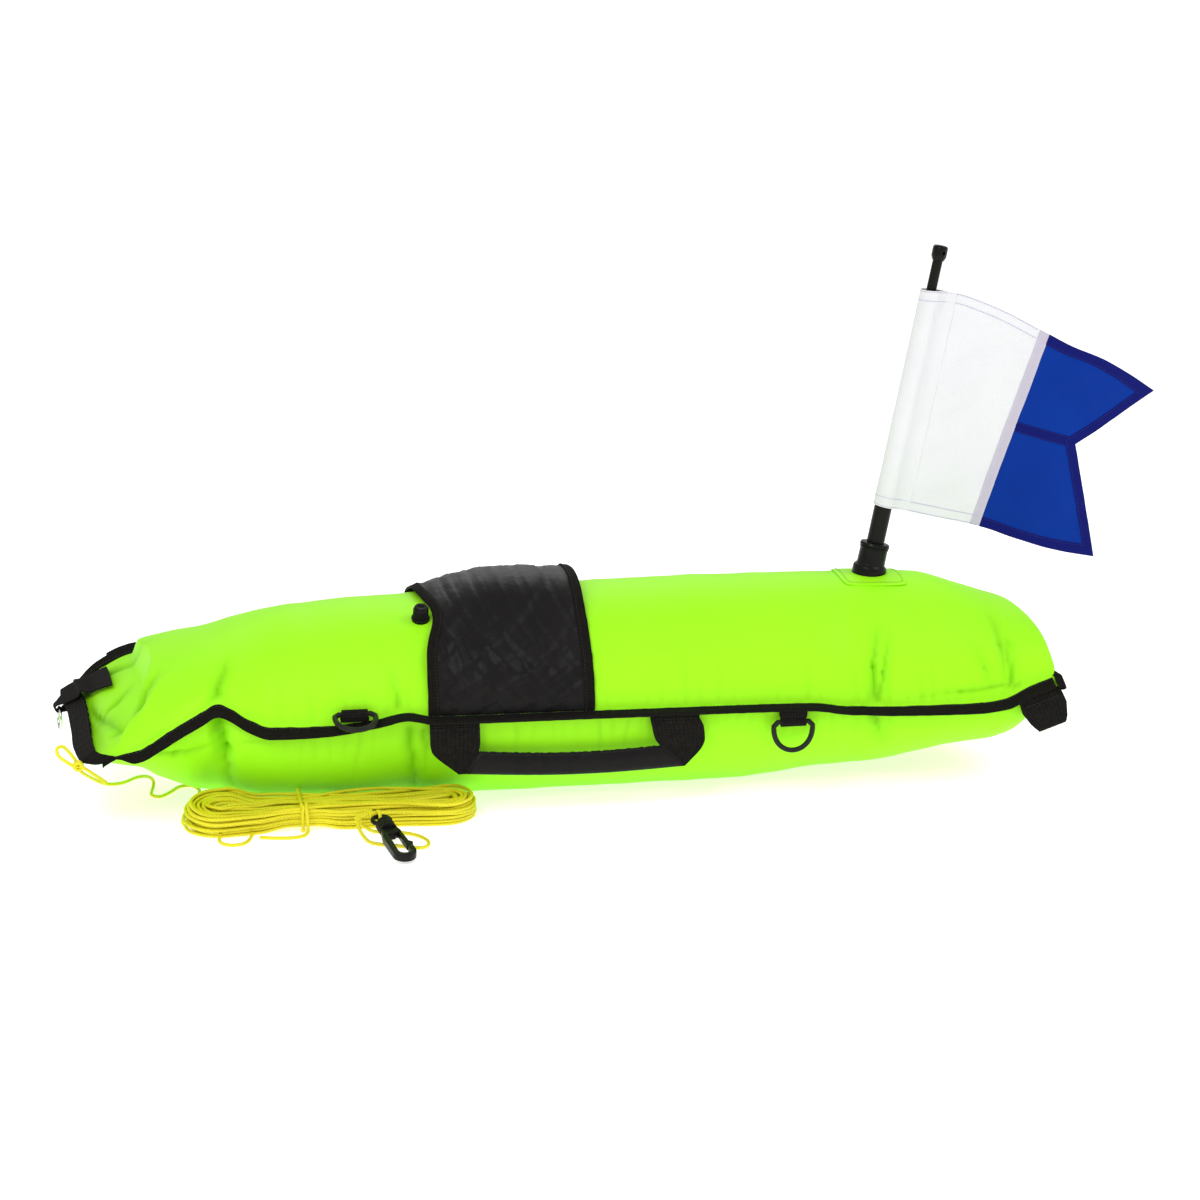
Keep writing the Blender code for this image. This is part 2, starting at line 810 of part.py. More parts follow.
seam_high_right = shifted(flag_seam_high, fit_gap, 0)
seam_low_right = shifted(flag_seam_low, fit_gap, 0)
border_path = [seam_high_right, flag_high_tip, flag_notch, flag_low_tip, seam_low_right]
border_inner = [
    inset_corner(border_path[i - 1], border_path[i], border_path[i + 1], flag_tape_width)
    for i in range(1, 4)
]
seam_lean = (flag_seam_high[0] - flag_seam_low[0]) / (flag_seam_high[1] - flag_seam_low[1])
inner_high = shifted(seam_high_right, -flag_tape_width * seam_lean, -flag_tape_width)
inner_low = shifted(seam_low_right, flag_tape_width * seam_lean, flag_tape_width)
border_inner = [inner_high, *border_inner, inner_low]
border_steps = 4


def border_point(row, col):
    """Hem of the blue panels: each straight side is cut in a few steps, so that it waves with them."""
    side = min(row // border_steps, len(border_path) - 2)
    share = (row - side * border_steps) / border_steps
    outer = mix(border_path[side], border_path[side + 1], share)
    inner = mix(border_inner[side], border_inner[side + 1], share)
    x, z = inner if col else outer
    bulge = flag_top_bulge * math.sin(math.pi * share) if side == 0 else 0
    return flag_point(x, z + bulge)


sheet("flag_border", border_steps * (len(border_path) - 1), 1, border_point, flag_tape, navy_cloth)

seam_rise = seam_high_right[1] - seam_low_right[1]
middle_share = 0.53
middle_low = mix(seam_low_right, seam_high_right, middle_share - half_tape / seam_rise)
middle_high = mix(seam_low_right, seam_high_right, middle_share + half_tape / seam_rise)
middle_low = shifted(middle_low, fit_gap, 0)
middle_high = shifted(middle_high, fit_gap, 0)
strip_end = shifted(border_inner[2], -fit_gap, 0)
strip_low = shifted(strip_end, -0.002, -half_tape)
strip_high = shifted(strip_end, -0.002, half_tape)
flag_quad("flag_middle_seam", (middle_low, strip_low, middle_high, strip_high), 4, 1, flag_tape, navy_cloth)


def inside(point, dx, dz):
    return shifted(point, dx * 0.0006, dz * 0.0006)


flag_quad(
    "flag_blue_upper",
    (
        inside(middle_high, 1, 1), inside(shifted(strip_high, 0.002, 0), -2, 1),
        inside(inner_high, 1, -1), inside(border_inner[1], -3, -1),
    ),
    5, 4, flag_cloth, blue_cloth, bulge=flag_top_bulge,
)
flag_quad(
    "flag_blue_lower",
    (
        inside(inner_low, 1, 1), inside(border_inner[3], -2, 1),
        inside(middle_low, 1, -1), inside(shifted(strip_low, 0.002, 0), -3, -1),
    ),
    5, 4, flag_cloth, blue_cloth,
)


# Carrying handle: webbing legs that hang from the near seam, and a sewn cover round the grip
def beside_binding(x, side, face, share_out=0.5):
    """A place just clear of the binding, on its upper face (1) or its lower face (-1)."""
    i, share = cell_of(stations, along(x))
    first, second = side_frame(i, side), side_frame(i + 1, side)
    seam, out, up = (a.lerp(b, share) for a, b in zip(first, second))
    clear = stand + tape_play + binding_thickness + 2 * fit_gap
    return seam + out * (side_flange * share_out) + up * (face * clear)


def under_binding(x, side):
    """The place under the middle of the binding, just clear of it."""
    return beside_binding(x, side, -1)


left, right = handle_left_x, handle_right_x
leg = handle_leg_width
notch_left = left + leg
notch_right = right - leg
leg_tops = [under_binding(x, -1) for x in (left, notch_left, notch_right, right)]
handle_slope = (leg_tops[3].z - leg_tops[0].z) / (right - left)
handle_top = min(point.z - handle_slope * (point.x - left) for point in leg_tops)
handle_y = leg_tops[0].y
low = -handle_drop
run_high = low + grip_height - 2 * cover_thickness - 2 * fit_gap
fold = 0.022
handle_outline = (
    (left, 0), (left, low + fold), (left + fold * 1.2, low + 0.001), (right - fold, low + 0.001),
    (right + 0.004, low + fold), (right, 0), (notch_right, 0), (notch_right, run_high),
    (notch_left, run_high), (notch_left, 0),
)
handle_webbing = plate(
    "handle_webbing", [(x, y + handle_slope * (x - left)) for x, y in handle_outline],
    webbing, black_webbing, bevel=0.001,
)
handle_webbing.matrix_world = Matrix.Translation((0, handle_y, handle_top)) @ Matrix.Rotation(math.pi / 2, 4, "X")
grip_half = grip_thickness / 2 - cover_thickness
grip_low = low - cover_thickness
grip_top = run_high + 2 * fit_gap + cover_thickness + 0.002
stitch_half = cover_thickness / 2 + fit_gap + 0.0008
grip_loop = [(stitch_half, grip_top + 0.001)]
for i in range(9):
    angle = math.radians(65 + 230 * i / 8)
    grip_loop.append((
        grip_half * math.sin(angle),
        (grip_low + grip_top) / 2 + (grip_top - grip_low) / 2 * math.cos(angle),
    ))
grip_loop.append((-stitch_half, grip_top + 0.001))
grip_steps = 8


def grip_point(row, col):
    x = grip_left_x + (grip_right_x - grip_left_x) * row / grip_steps
    y, z = grip_loop[col]
    return Vector((x, handle_y + y, handle_top + z + handle_slope * (x - left)))


sheet("handle_grip", grip_steps, len(grip_loop) - 1, grip_point, cover_thickness, black_nylon, side=1)


def ring_outline():
    """A D: a straight bar at the top and a round bow below, about the wire's middle."""
    half = ring_width / 2 - ring_wire / 2
    depth = ring_drop - ring_wire
    points = [(-half + 0.003, 0.0), (half - 0.003, 0.0)]
    bow = 13
    for i in range(bow):
        angle = math.pi * i / (bow - 1)
        points.append((half * math.cos(angle), -0.004 - (depth - 0.004) * math.sin(angle) ** 0.8))
    return points


def ring_and_tab(name, x, side, stands):
    """A D-ring and the webbing tab that carries it. Most hang from the binding's lower face. One stands on the
    upper face, and its ring lies out over the binding."""
    half = ring_tab_width / 2
    if stands:
        root = beside_binding(x, side, 1, standing_tab_share)
        root.z = max(beside_binding(x + step, side, 1, standing_tab_share).z for step in (-half, 0, half))
        root.z += standing_tab_lift
        reach, tab_tilt, ring_tilt = standing_tab_reach, standing_tab_tilt, standing_ring_tilt
    else:
        root = under_binding(x, side)
        root.z = min(under_binding(x + step, side).z for step in (-half, 0, half))
        reach, tab_tilt, ring_tilt = ring_tab_drop, 0.0, 0.0
    inner = ring_wire / 2 + fit_gap
    profile = [(inner * 0.45, 0.0), (inner * 0.45, -reach * 0.35)]
    for i in range(7):
        angle = math.radians(35 + (360 - 70) * i / 6)
        profile.append((inner * math.sin(angle) * 1.12, -reach + inner * math.cos(angle) * 1.12))
    profile += [(-inner * 0.45, -reach * 0.35), (-inner * 0.45, 0.0)]
    place_tab = Matrix.Translation(root) @ Matrix.Rotation(tab_tilt * side, 4, "X")

    def point(row, col):
        y, z = profile[col]
        return place_tab @ Vector((half - 2 * half * row, y, z))

    sheet(name + "_tab", 1, len(profile) - 1, point, ring_tab_thickness, black_webbing, side=-1)
    pivot = place_tab @ Vector((0, 0, -reach))
    frame = Matrix.Translation(pivot) @ Matrix.Rotation(ring_tilt * side, 4, "X")
    points = [frame @ Vector((px, 0, pz)) for px, pz in ring_outline()]
    tube(name, points, ring_wire, black_plastic, resolution=1, cyclic=True)
    print(f"{name} pivot: {tuple(round(v, 6) for v in pivot)}")


for label, side in (("near", -1), ("far", 1)):
    for end, x in zip(("nose", "tail"), ring_places):
        name = f"d_ring_{label}_{end}"
        ring_and_tab(name, x, side, stands=(label, end) == ("near", "nose"))


# Tow ring: a steel ring in a webbing strap folded round the nose band
def nose_edge(t):
    """The seam at the nose, between the columns of the panels."""
    j, share = cell_of(column_places, t)
    return end_points[0][j].lerp(end_points[0][j + 1], share)


band_half = stand + tape_play + band_thickness + 5 * fit_gap
band_reach = nose_flange + fit_gap + (stand + fit_gap) * 0.6 + band_thickness
tow_seam = nose_edge(tow_across)
tow_edge = nose_edge(tow_across + 0.01) - nose_edge(tow_across - 0.01)
tow_edge.normalize()
tow_up = nose_out.cross(tow_edge).normalized()
if tow_up.z < 0:
    tow_up = -tow_up
strap_bend = tow_ring_wire / 2 + 6 * fit_gap
tow_pin = band_reach + strap_bend + 0.0012
tow_profile = [(0.0015, band_half), (band_reach - 0.001, band_half)]
for i in range(7):
    angle = math.radians(100 - 200 * i / 6)
    tow_profile.append((tow_pin + strap_bend * math.cos(angle), strap_bend * math.sin(angle)))
tow_profile += [(band_reach - 0.001, -band_half), (0.0015, -band_half)]
fold_share = 0.40


def tow_point(row, col):
    """The strap is gathered where it carries the ring."""
    a, b = tow_profile[col]
    share = min(1.0, max(0.0, (a - band_reach * 0.6) / (tow_pin - band_reach * 0.6)))
    width = tow_strap_width * (1 - (1 - fold_share) * share)
    return tow_seam + nose_out * a + tow_up * b + tow_edge * ((0.5 - row) * width)


sheet("tow_strap", 1, len(tow_profile) - 1, tow_point, tow_strap_thickness, black_webbing, side=-1)
tow_pivot = tow_seam + nose_out * tow_pin + Vector((0, 0, 0.0004))
tow_ring_centre = tow_pivot + Vector((0, 0, -tow_ring_radius))
ring_side = Vector((tow_edge.x, tow_edge.y, 0)).normalized()
ring_points = []
for i in range(20):
    angle = 2 * math.pi * i / 20
    ring_points.append(
        tow_ring_centre + ring_side * (tow_ring_radius * math.sin(angle))
        + Vector((0, 0, tow_ring_radius * math.cos(angle)))
    )
tube("tow_ring", ring_points, tow_ring_wire, steel, resolution=2, cyclic=True)

# Grab loop: wide webbing folded on itself under the near corner of the tail
loop_x = nose_x + hull_length - tail_loop_inset + tail_loop_width / 2 - 0.003
loop_root = under_binding(loop_x - tail_loop_width / 2, -1)
loop_low_root = min(
    under_binding(loop_x - tail_loop_width, -1).z, under_binding(loop_x, -1).z, loop_root.z
)
loop_top = Vector((loop_x - tail_loop_width / 2, loop_root.y, loop_low_root - 0.0013))
loop_half = tail_loop_gap / 2
loop_profile = [(-0.0012, 0.0), (-loop_half, -0.010), (-loop_half, -tail_loop_drop + 0.008)]
for i in range(5):
    angle = math.pi * i / 4
    loop_profile.append((-loop_half * math.cos(angle), -tail_loop_drop + 0.006 - loop_half * math.sin(angle)))
loop_profile += [(loop_half, -tail_loop_drop + 0.008), (loop_half, -0.010), (0.0012, 0.0)]
loop_cut = (0.0, 0.006, 0.014)


def loop_point(row, col):
    """The loop narrows towards its fold, where the webbing is turned in at both edges."""
    y, z = loop_profile[col]
    half = tail_loop_width / 2
    depth = -z / tail_loop_drop
    if depth > 0.6:
        half -= (depth - 0.6) / 0.4 * 0.011
    return loop_top + Vector((half * (row - 1), y, z))


sheet("tail_grab_loop", 2, len(loop_profile) - 1, loop_point, webbing * 0.7, black_webbing, side=-1)


# Hank: one unbroken line in layers of loops, each layer spiralling in or out, drawn in at the waist
bend_reach = hank_half_length - hank_inner - hank_spread
run_places = (-0.0645, -0.0425, -0.0165, 0.0055, 0.050)


def loop_shape(k):
    """Middle of the bend or of the run, and the way out from it, at one of a loop's points."""
    if 3 < k < 9:
        return run_places[k - 4], 0.0, -1.0
    if 15 < k < 21:
        return run_places[20 - k], 0.0, 1.0
    angle = math.pi + math.radians(30) * (k if k <= 3 else k - 6 if k <= 15 else k - 12)
    middle = bend_reach if 9 <= k <= 15 else -bend_reach
    return middle, math.cos(angle), math.sin(angle)


def hank_point(count):
    """The line's middle after so many points, starting from the outside at the nose end."""
    turn = count / loop_points
    wave = (turn / hank_turns_per_layer) % 2
    reach = hank_inner + hank_spread * abs(1 - wave)
    middle, out_x, out_y = loop_shape(count % loop_points)
    x = middle + reach * out_x
    y = reach * out_y
    from_tie = (hank_middle[0] + x - hank_tie_x) / hank_waist_reach
    waist = math.exp(-(from_tie**4))
    y *= 1 - (1 - hank_waist_share) * waist
    pitch = hank_layer_pitch + (hank_waist_pitch - hank_layer_pitch) * waist
    layer = 0.0
    for i in range(1, hank_layers):
        climb = (turn - i * hank_turns_per_layer) / 0.5 + 0.5
        layer += min(1.0, max(0.0, climb))
    rest = line / 2 + fit_gap + waist * (line + 4 * fit_gap)
    return Vector((hank_middle[0] + x, hank_middle[1] + y - hank_lean * layer, rest + layer * pitch))


hank = [hank_point(i) for i in range(round(hank_turns * loop_points) + 1)]
hank.insert(0, hank[0] + Vector((-0.0006, line * 1.5, 0)))
tube("line_hank", hank, line, yellow_line, resolution=1)


def least_gap(points, diameter):
    """The least clear distance between stretches of a tube that aren't neighbours."""
    fine = []
    for first, second in zip(points, points[1:]):
        fine += [first.lerp(second, share / 6) for share in range(6)]
    fine = np.array([tuple(p) for p in fine])
    steps = np.linalg.norm(np.diff(fine, axis=0), axis=1)
    run = np.concatenate([[0], np.cumsum(steps)])
    least = 1.0
    for i in range(len(fine)):
        apart = np.linalg.norm(fine - fine[i], axis=1)
        apart[np.abs(run - run[i]) < 6 * diameter] = 1.0
        least = min(least, float(apart.min()))
    return least - diameter


print(f"hank: {hank_turns:.1f} loops, least gap {least_gap(hank, line) * 1000:.2f} mm")
hank_run = sum((b - a).length for a, b in zip(hank, hank[1:]))
print(f"hank: {hank_run:.2f} m of line")

# Tie: a wrap of the same line round the hank's waist
at_waist = [p for p in hank if abs(p.x - hank_tie_x) < 0.015]
tie_near = min(p.y for p in at_waist) - line - 2 * fit_gap
tie_far = max(p.y for p in at_waist) + line + 2 * fit_gap
tie_high = max(p.z for p in at_waist) + line + 2 * fit_gap
tie_low = line / 2 + 0.0002
tie_round = 0.0045
tie_points = []
for corner_y, corner_z, turn in (
    (tie_far, tie_high, 0), (tie_near, tie_high, 1), (tie_near, tie_low, 2), (tie_far, tie_low, 3),
):
    inward_y = -1 if corner_y == tie_far else 1
    inward_z = -1 if corner_z == tie_high else 1
    radius = tie_round if corner_z == tie_high else tie_round * 0.5
    for i in range(4):
        angle = math.pi / 2 * (turn + i / 3)
        tie_points.append(Vector((
            hank_tie_x,
            corner_y + inward_y * radius + radius * math.cos(angle),
            corner_z + inward_z * radius + radius * math.sin(angle),
        )))
tube("hank_tie", tie_points, line, yellow_line, resolution=1, cyclic=True)


def smooth_route(route, spacing):
    """Points at even steps on a smooth curve through a route's own points."""
    points = [2 * route[0] - route[1], *route, 2 * route[-1] - route[-2]]
    fine = []
    for a, b, c, d in zip(points, points[1:], points[2:], points[3:]):
        for i in range(24):
            t = i / 24
            fine.append(
                0.5 * (2 * b + (c - a) * t + (2 * a - 5 * b + 4 * c - d) * t * t
                       + (3 * b - 3 * c + d - a) * t ** 3)
            )
    fine.append(route[-1])
    run = [0.0]
    for first, second in zip(fine, fine[1:]):
        run.append(run[-1] + (second - first).length)
    count = max(2, round(run[-1] / spacing))
    even = []
    for i in range(count + 1):
        goal = run[-1] * i / count
        k = min(int(np.searchsorted(run, goal)), len(run) - 1)
        k = max(k, 1)
        share = (goal - run[k - 1]) / max(run[k] - run[k - 1], 1e-9)
        even.append(fine[k - 1].lerp(fine[k], min(max(share, 0), 1)))
    print(f"route: {run[-1]:.3f} m")
    return even


def shape_of(name, kind, centre, axis, size, material):
    """A ball or a barrel of a size, lying along an axis, to be joined to another piece."""
    if kind == "ball":
        bpy.ops.mesh.primitive_uv_sphere_add(segments=10, ring_count=7, radius=0.5)
    else:
        bpy.ops.mesh.primitive_cylinder_add(vertices=12, radius=0.5, depth=1)
    made = bpy.context.object
    made.name = name
    for group in list(made.users_collection):
        group.objects.unlink(made)
    float_parts.objects.link(made)
    made.data.materials.append(material)
    turn = Vector(axis).to_track_quat("Z", "Y").to_matrix().to_4x4()
    made.matrix_world = Matrix.Translation(centre) @ turn @ Matrix.Diagonal((*size, 1))
    return made


# Knot that holds the line at the near corner of the nose band, with its bow and its tail
line_low = line / 2 + 0.0002
knot_radius = 0.0048
knot_seam = nose_edge(0.22)
knot_middle = knot_seam + nose_out * (band_reach + knot_radius + 2 * fit_gap)
line_knot = as_mesh(shape_of(
    "line_knot", "ball", knot_middle, (0.2, 1, 0.3), (2 * knot_radius,) * 2 + (2.5 * knot_radius,),
    yellow_line,
))
bow = [(0, 0, 0), (-5, 3, 3), (-12, 4, 4), (-15, 0, 1), (-13, -3, -4), (-6, -3, -4)]
bow_points = [knot_middle + Vector(p) * 0.001 for p in bow]
knot_bow = as_mesh(tube("knot_bow", bow_points, line, yellow_line, resolution=1, cyclic=True))
combine(line_knot, knot_bow, "UNION")
tail = [(0, 0, 0), (8, -6, -3), (17, -9, -9), (24, -8, -15)]
knot_tail = as_mesh(tube(
    "knot_tail", [knot_middle + Vector(p) * 0.001 for p in tail], line, yellow_line, resolution=1,
))
combine(line_knot, knot_tail, "UNION")

lead = Vector((0.40, 0.35, -0.85)).normalized()
line_start = knot_middle + lead * (knot_radius * 1.12 + fit_gap)
tow_line_route = [line_start, line_start + lead * line * 1.2]
tow_line_route += [
    Vector(p) for p in (
        (-0.4500, -0.0660, 0.0350), (-0.4330, -0.0440, 0.0275), (-0.4170, -0.0160, 0.0240),
        (-0.4060, 0.0060, 0.0170), (-0.4010, 0.0170, 0.0080),
        (-0.4030, 0.0080, line_low), (-0.4040, -0.0060, line_low), (-0.3960, -0.0130, line_low),
        (-0.3860, -0.0010, line_low), (-0.3760, 0.0160, line_low), (-0.3640, 0.0180, line_low),
        (-0.3570, 0.0000, line_low), (-0.3620, -0.0300, line_low), (-0.3720, -0.0620, line_low),
    )
]
hank_start = hank[0]
enter = (hank[1] - hank[0]).normalized()
tow_line_route += [
    hank_start - enter * 0.020, hank_start - enter * 0.006, hank_start - enter * fit_gap,
]
tow_line = smooth_route(tow_line_route, line * 2.4)
tube("tow_line", tow_line, line, yellow_line, resolution=2)


# Swivel snap. Its frame: Y runs from the eye to the hook, Z is the way its flat side looks
clip_along = Vector((
    math.sin(clip_yaw) * math.cos(clip_pitch), -math.cos(clip_yaw) * math.cos(clip_pitch),
    -math.sin(clip_pitch),
))
clip_across = clip_along.cross(Vector((0, 0, 1))).normalized()
clip_up = clip_across.cross(clip_along)
clip_frame = Matrix.Translation(clip_eye_end) @ Matrix((clip_across, clip_along, clip_up)).transposed().to_4x4()
along_clip = Matrix.Rotation(-math.pi / 2, 4, "X")

eye_middle = eye_radius - eye_wire / 2
eye_points = []
for i in range(18):
    angle = 2 * math.pi * i / 18
    eye_points.append(Vector((eye_middle * math.cos(angle), eye_radius + eye_middle * math.sin(angle), 0)))
clip_eye = as_mesh(tube("clip_eye", eye_points, eye_wire, black_plastic, resolution=1, cyclic=True))
rib = 0.0007
rib_pitch = (collar_end - collar_start) / 5
collar_profile = [(0, collar_end)]
for i in range(5):
    high = collar_end - rib_pitch * i
    wide = clip_collar_radius - (rib if i % 2 else 0)
    collar_profile += [(wide, high - 0.0002), (wide, high - rib_pitch + 0.0002)]
collar_profile.append((0, collar_start))
clip_collar = turned("clip_collar", collar_profile, 16, black_plastic)
clip_collar.matrix_world = along_clip
combine(clip_eye, clip_collar, "UNION")
swivel_hole = turned(
    "swivel_hole",
    (
        (0, collar_end + 0.004), (swivel_pin_radius + swivel_play, collar_end + 0.004),
        (swivel_pin_radius + swivel_play, 0.0148), (0, 0.0148),
    ),
    12, None, group=cutters,
)
swivel_hole.matrix_world = clip_frame @ along_clip
clip_eye.matrix_world = clip_frame
combine(clip_eye, swivel_hole, "DIFFERENCE")

hook_start = collar_end + fit_gap
bend = clip_length - hook_radius + 0.0013
outer = hook_radius - 0.0013
inner = outer - hook_wire + 0.0006
hook_outline = [(-0.008, hook_start), (0.008, hook_start), (0.0095, 0.038), (outer, 0.050)]
hook_outline += [(outer * math.cos(a), bend + outer * math.sin(a)) for a in np.linspace(0, math.pi, 9)]
hook_outline += [(-outer, 0.0696), (-0.0060, 0.0710)]
hook_outline += [(inner * math.cos(a), bend + inner * math.sin(a)) for a in np.linspace(math.pi, 0, 7)]
hook_outline += [(0.0046, 0.047), (0.0030, 0.0448), (-0.0030, 0.0448), (-0.0042, 0.0426), (-0.0095, 0.0426)]
hook_outline += [(-0.0095, 0.038)]
clip_hook = as_mesh(plate("clip_hook", hook_outline, clip_thickness, black_plastic, bevel=0.001))
swivel_pin = turned(
    "swivel_pin",
    (
        (0, 0.037), (swivel_pin_radius, 0.037), (swivel_pin_radius, 0.0145), (0.0037, 0.0145),
        (0.0034, 0.0122), (0, 0.0122),
    ),
    12, black_plastic,
)
swivel_pin.matrix_world = along_clip
combine(clip_hook, swivel_pin, "UNION")
clip_hook.matrix_world = clip_frame
gate_outline = (
    (-0.0096, 0.0442), (-0.0086, 0.0433), (-0.0066, 0.0433), (-0.0056, 0.0442), (-0.0054, 0.060),
    (-0.0056, 0.0703), (-0.0106, 0.0690), (-0.0108, 0.0672), (-0.0130, 0.0660), (-0.0132, 0.0630),
    (-0.0103, 0.0612),
)
clip_gate = as_mesh(plate("clip_gate", gate_outline[::-1], clip_thickness * 0.8, black_plastic))
clip_gate.matrix_world = clip_frame

# Knot and loop that tie the line's end to the eye, then the line from the hank to that knot
loop_radius = 0.0050
loop_middle = 0.0019
loop_ring = []
for i in range(12):
    angle = 2 * math.pi * i / 12
    loop_ring.append(Vector((0, loop_middle + loop_radius * math.cos(angle), loop_radius * math.sin(angle))))
end_knot = as_mesh(tube("end_knot", loop_ring, line, yellow_line, resolution=1, cyclic=True))
knot_length = 0.0080
knot_barrel = as_mesh(shape_of(
    "knot_barrel", "barrel", Vector((knot_length / 2 - 0.0005, loop_middle - loop_radius, 0)), (1, 0, 0),
    (0.0054, 0.0054, knot_length), yellow_line,
))
combine(end_knot, knot_barrel, "UNION")
end_knot.matrix_world = clip_frame

meet = clip_frame @ Vector((knot_length - 0.0005 + fit_gap, loop_middle - loop_radius, 0))
leave = (hank[-1] - hank[-2]).normalized()
line_end_route = [hank[-1] + leave * fit_gap, hank[-1] + leave * line * 1.3]
line_end_route += [
    Vector(p) for p in (
        (-0.2240, -0.1480, 0.0205), (-0.2170, -0.1535, 0.0160), (-0.2100, -0.1568, 0.0085),
        (-0.2010, -0.1585, 0.0026), (-0.1900, -0.1600, line_low), (-0.1760, -0.1640, line_low),
        (-0.1630, -0.1735, line_low), (-0.1550, -0.1870, line_low), (-0.1530, -0.2000, line_low),
        (-0.1580, -0.2110, line_low), (-0.1690, -0.2105, line_low), (-0.1830, -0.2030, line_low),
        (-0.1980, -0.1960, line_low), (-0.2090, -0.1910, 0.0040), (-0.2155, -0.1800, 0.0110),
        (-0.2165, -0.1710, 0.0180),
    )
]
line_end_route += [meet + clip_across * 0.006, meet]
tube("line_end", smooth_route(line_end_route, line * 2.2), line, yellow_line, resolution=2)
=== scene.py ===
import math

import bpy
import numpy as np
from mathutils import Matrix, Vector


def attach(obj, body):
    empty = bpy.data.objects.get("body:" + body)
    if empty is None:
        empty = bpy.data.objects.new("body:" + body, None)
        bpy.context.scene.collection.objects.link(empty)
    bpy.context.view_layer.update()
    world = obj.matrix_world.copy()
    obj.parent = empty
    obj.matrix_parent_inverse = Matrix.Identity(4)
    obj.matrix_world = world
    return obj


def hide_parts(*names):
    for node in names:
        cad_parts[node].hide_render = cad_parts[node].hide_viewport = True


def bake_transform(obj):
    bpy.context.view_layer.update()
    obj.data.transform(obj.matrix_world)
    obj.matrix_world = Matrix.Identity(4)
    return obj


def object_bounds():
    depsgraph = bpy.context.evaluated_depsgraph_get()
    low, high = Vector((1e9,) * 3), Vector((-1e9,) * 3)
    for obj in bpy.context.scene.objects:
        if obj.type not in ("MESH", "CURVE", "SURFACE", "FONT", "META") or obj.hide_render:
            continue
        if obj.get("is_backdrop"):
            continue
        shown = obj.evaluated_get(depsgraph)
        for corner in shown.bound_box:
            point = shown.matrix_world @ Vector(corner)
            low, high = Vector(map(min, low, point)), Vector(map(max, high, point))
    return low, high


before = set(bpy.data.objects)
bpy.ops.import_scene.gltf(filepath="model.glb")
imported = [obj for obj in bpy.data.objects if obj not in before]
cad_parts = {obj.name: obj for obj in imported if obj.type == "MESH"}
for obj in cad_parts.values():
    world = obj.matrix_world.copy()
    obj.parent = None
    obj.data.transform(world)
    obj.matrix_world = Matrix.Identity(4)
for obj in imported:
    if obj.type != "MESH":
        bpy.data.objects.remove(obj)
cad_box = [list(corner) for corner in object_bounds()]
for startup in ("Cube", "Light", "Camera"):
    if startup in bpy.data.objects:
        bpy.data.objects.remove(bpy.data.objects[startup], do_unlink=True)
bpy.ops.object.select_all(action="DESELECT")

# Camera: a long lens, a little above the float and a little towards its nose.
azimuth, elevation = math.radians(-10), math.radians(14)
distance, seen_point = 3.0, Vector((0, 0, 0.097))
seen_across, seen_down, frame_middle, pixels_per_focal = 556, 681, 600, 3000
backward = Vector((
    math.sin(azimuth) * math.cos(elevation), -math.cos(azimuth) * math.cos(elevation), math.sin(elevation),
))
rightward = Vector((math.cos(azimuth), math.sin(azimuth), 0))
upward = backward.cross(rightward)
per_pixel = distance / pixels_per_focal
viewpoint = (
    seen_point + backward * distance - rightward * (seen_across - frame_middle) * per_pixel
    + upward * (seen_down - frame_middle) * per_pixel
)
bpy.ops.object.camera_add(location=viewpoint, rotation=backward.to_track_quat("Z", "Y").to_euler())
camera = bpy.context.object
camera.data.lens, camera.data.sensor_width = 90, 36
camera.data.clip_end = 60
bpy.context.scene.camera = camera

# Studio: a white sweep in a bright white room, one wide lamp over the nose and a weaker one over the tail.
bpy.context.scene.view_settings.view_transform = "Standard"
world = bpy.context.scene.world or bpy.data.worlds.new("studio")
bpy.context.scene.world = world
world.use_nodes = True
world.node_tree.nodes["Background"].inputs["Color"].default_value = (1, 1, 1, 1)
world.node_tree.nodes["Background"].inputs["Strength"].default_value = 0.62
for name, place, aim, size, power in (
    ("lamp_over_nose", (-1.3, -1.9, 2.3), (-0.1, 0, 0.1), 1.3, 36),
    ("lamp_over_tail", (1.8, -0.7, 1.9), (0.2, 0, 0.1), 1.2, 14),
    ("lamp_behind", (0.3, 2.2, 1.8), (0, 0, 0.1), 1.6, 12),
):
    facing = (Vector(place) - Vector(aim)).to_track_quat("Z", "Y").to_euler()
    bpy.ops.object.light_add(type="AREA", location=place, rotation=facing)
    lamp = bpy.context.object
    lamp.name = name
    lamp.data.size, lamp.data.energy = size, power


def add(tree, kind, inputs=None, **settings):
    """A shader node with its settings, its plain values and its incoming links."""
    made = tree.nodes.new(kind)
    for key, value in settings.items():
        setattr(made, key, value)
    for key, value in (inputs or {}).items():
        if isinstance(value, bpy.types.NodeSocket):
            tree.links.new(value, made.inputs[key])
        else:
            made.inputs[key].default_value = value
    return made


def finish_of(name, colour, roughness, **plain):
    """A new material with plain values for its shader. Returns it, its node tree and its shader."""
    made = bpy.data.materials.new(name)
    made.use_nodes = True
    shader = made.node_tree.nodes["Principled BSDF"]
    shader.inputs["Base Color"].default_value = (*colour, 1)
    shader.inputs["Roughness"].default_value = roughness
    for key, value in plain.items():
        shader.inputs[key.replace("_", " ")].default_value = value
    return made, made.node_tree, shader


def feed(tree, shader, **sockets):
    """Links a shader's sockets to what feeds them."""
    for key, value in sockets.items():
        tree.links.new(value, shader.inputs[key.replace("_", " ")])


def mixed(tree, share, low, high):
    """A colour between two others, each a plain colour or another node's."""
    low, high = (part if isinstance(part, bpy.types.NodeSocket) else (*part, 1) for part in (low, high))
    return add(tree, "ShaderNodeMixRGB", {"Fac": share, 1: low, 2: high}).outputs["Color"]


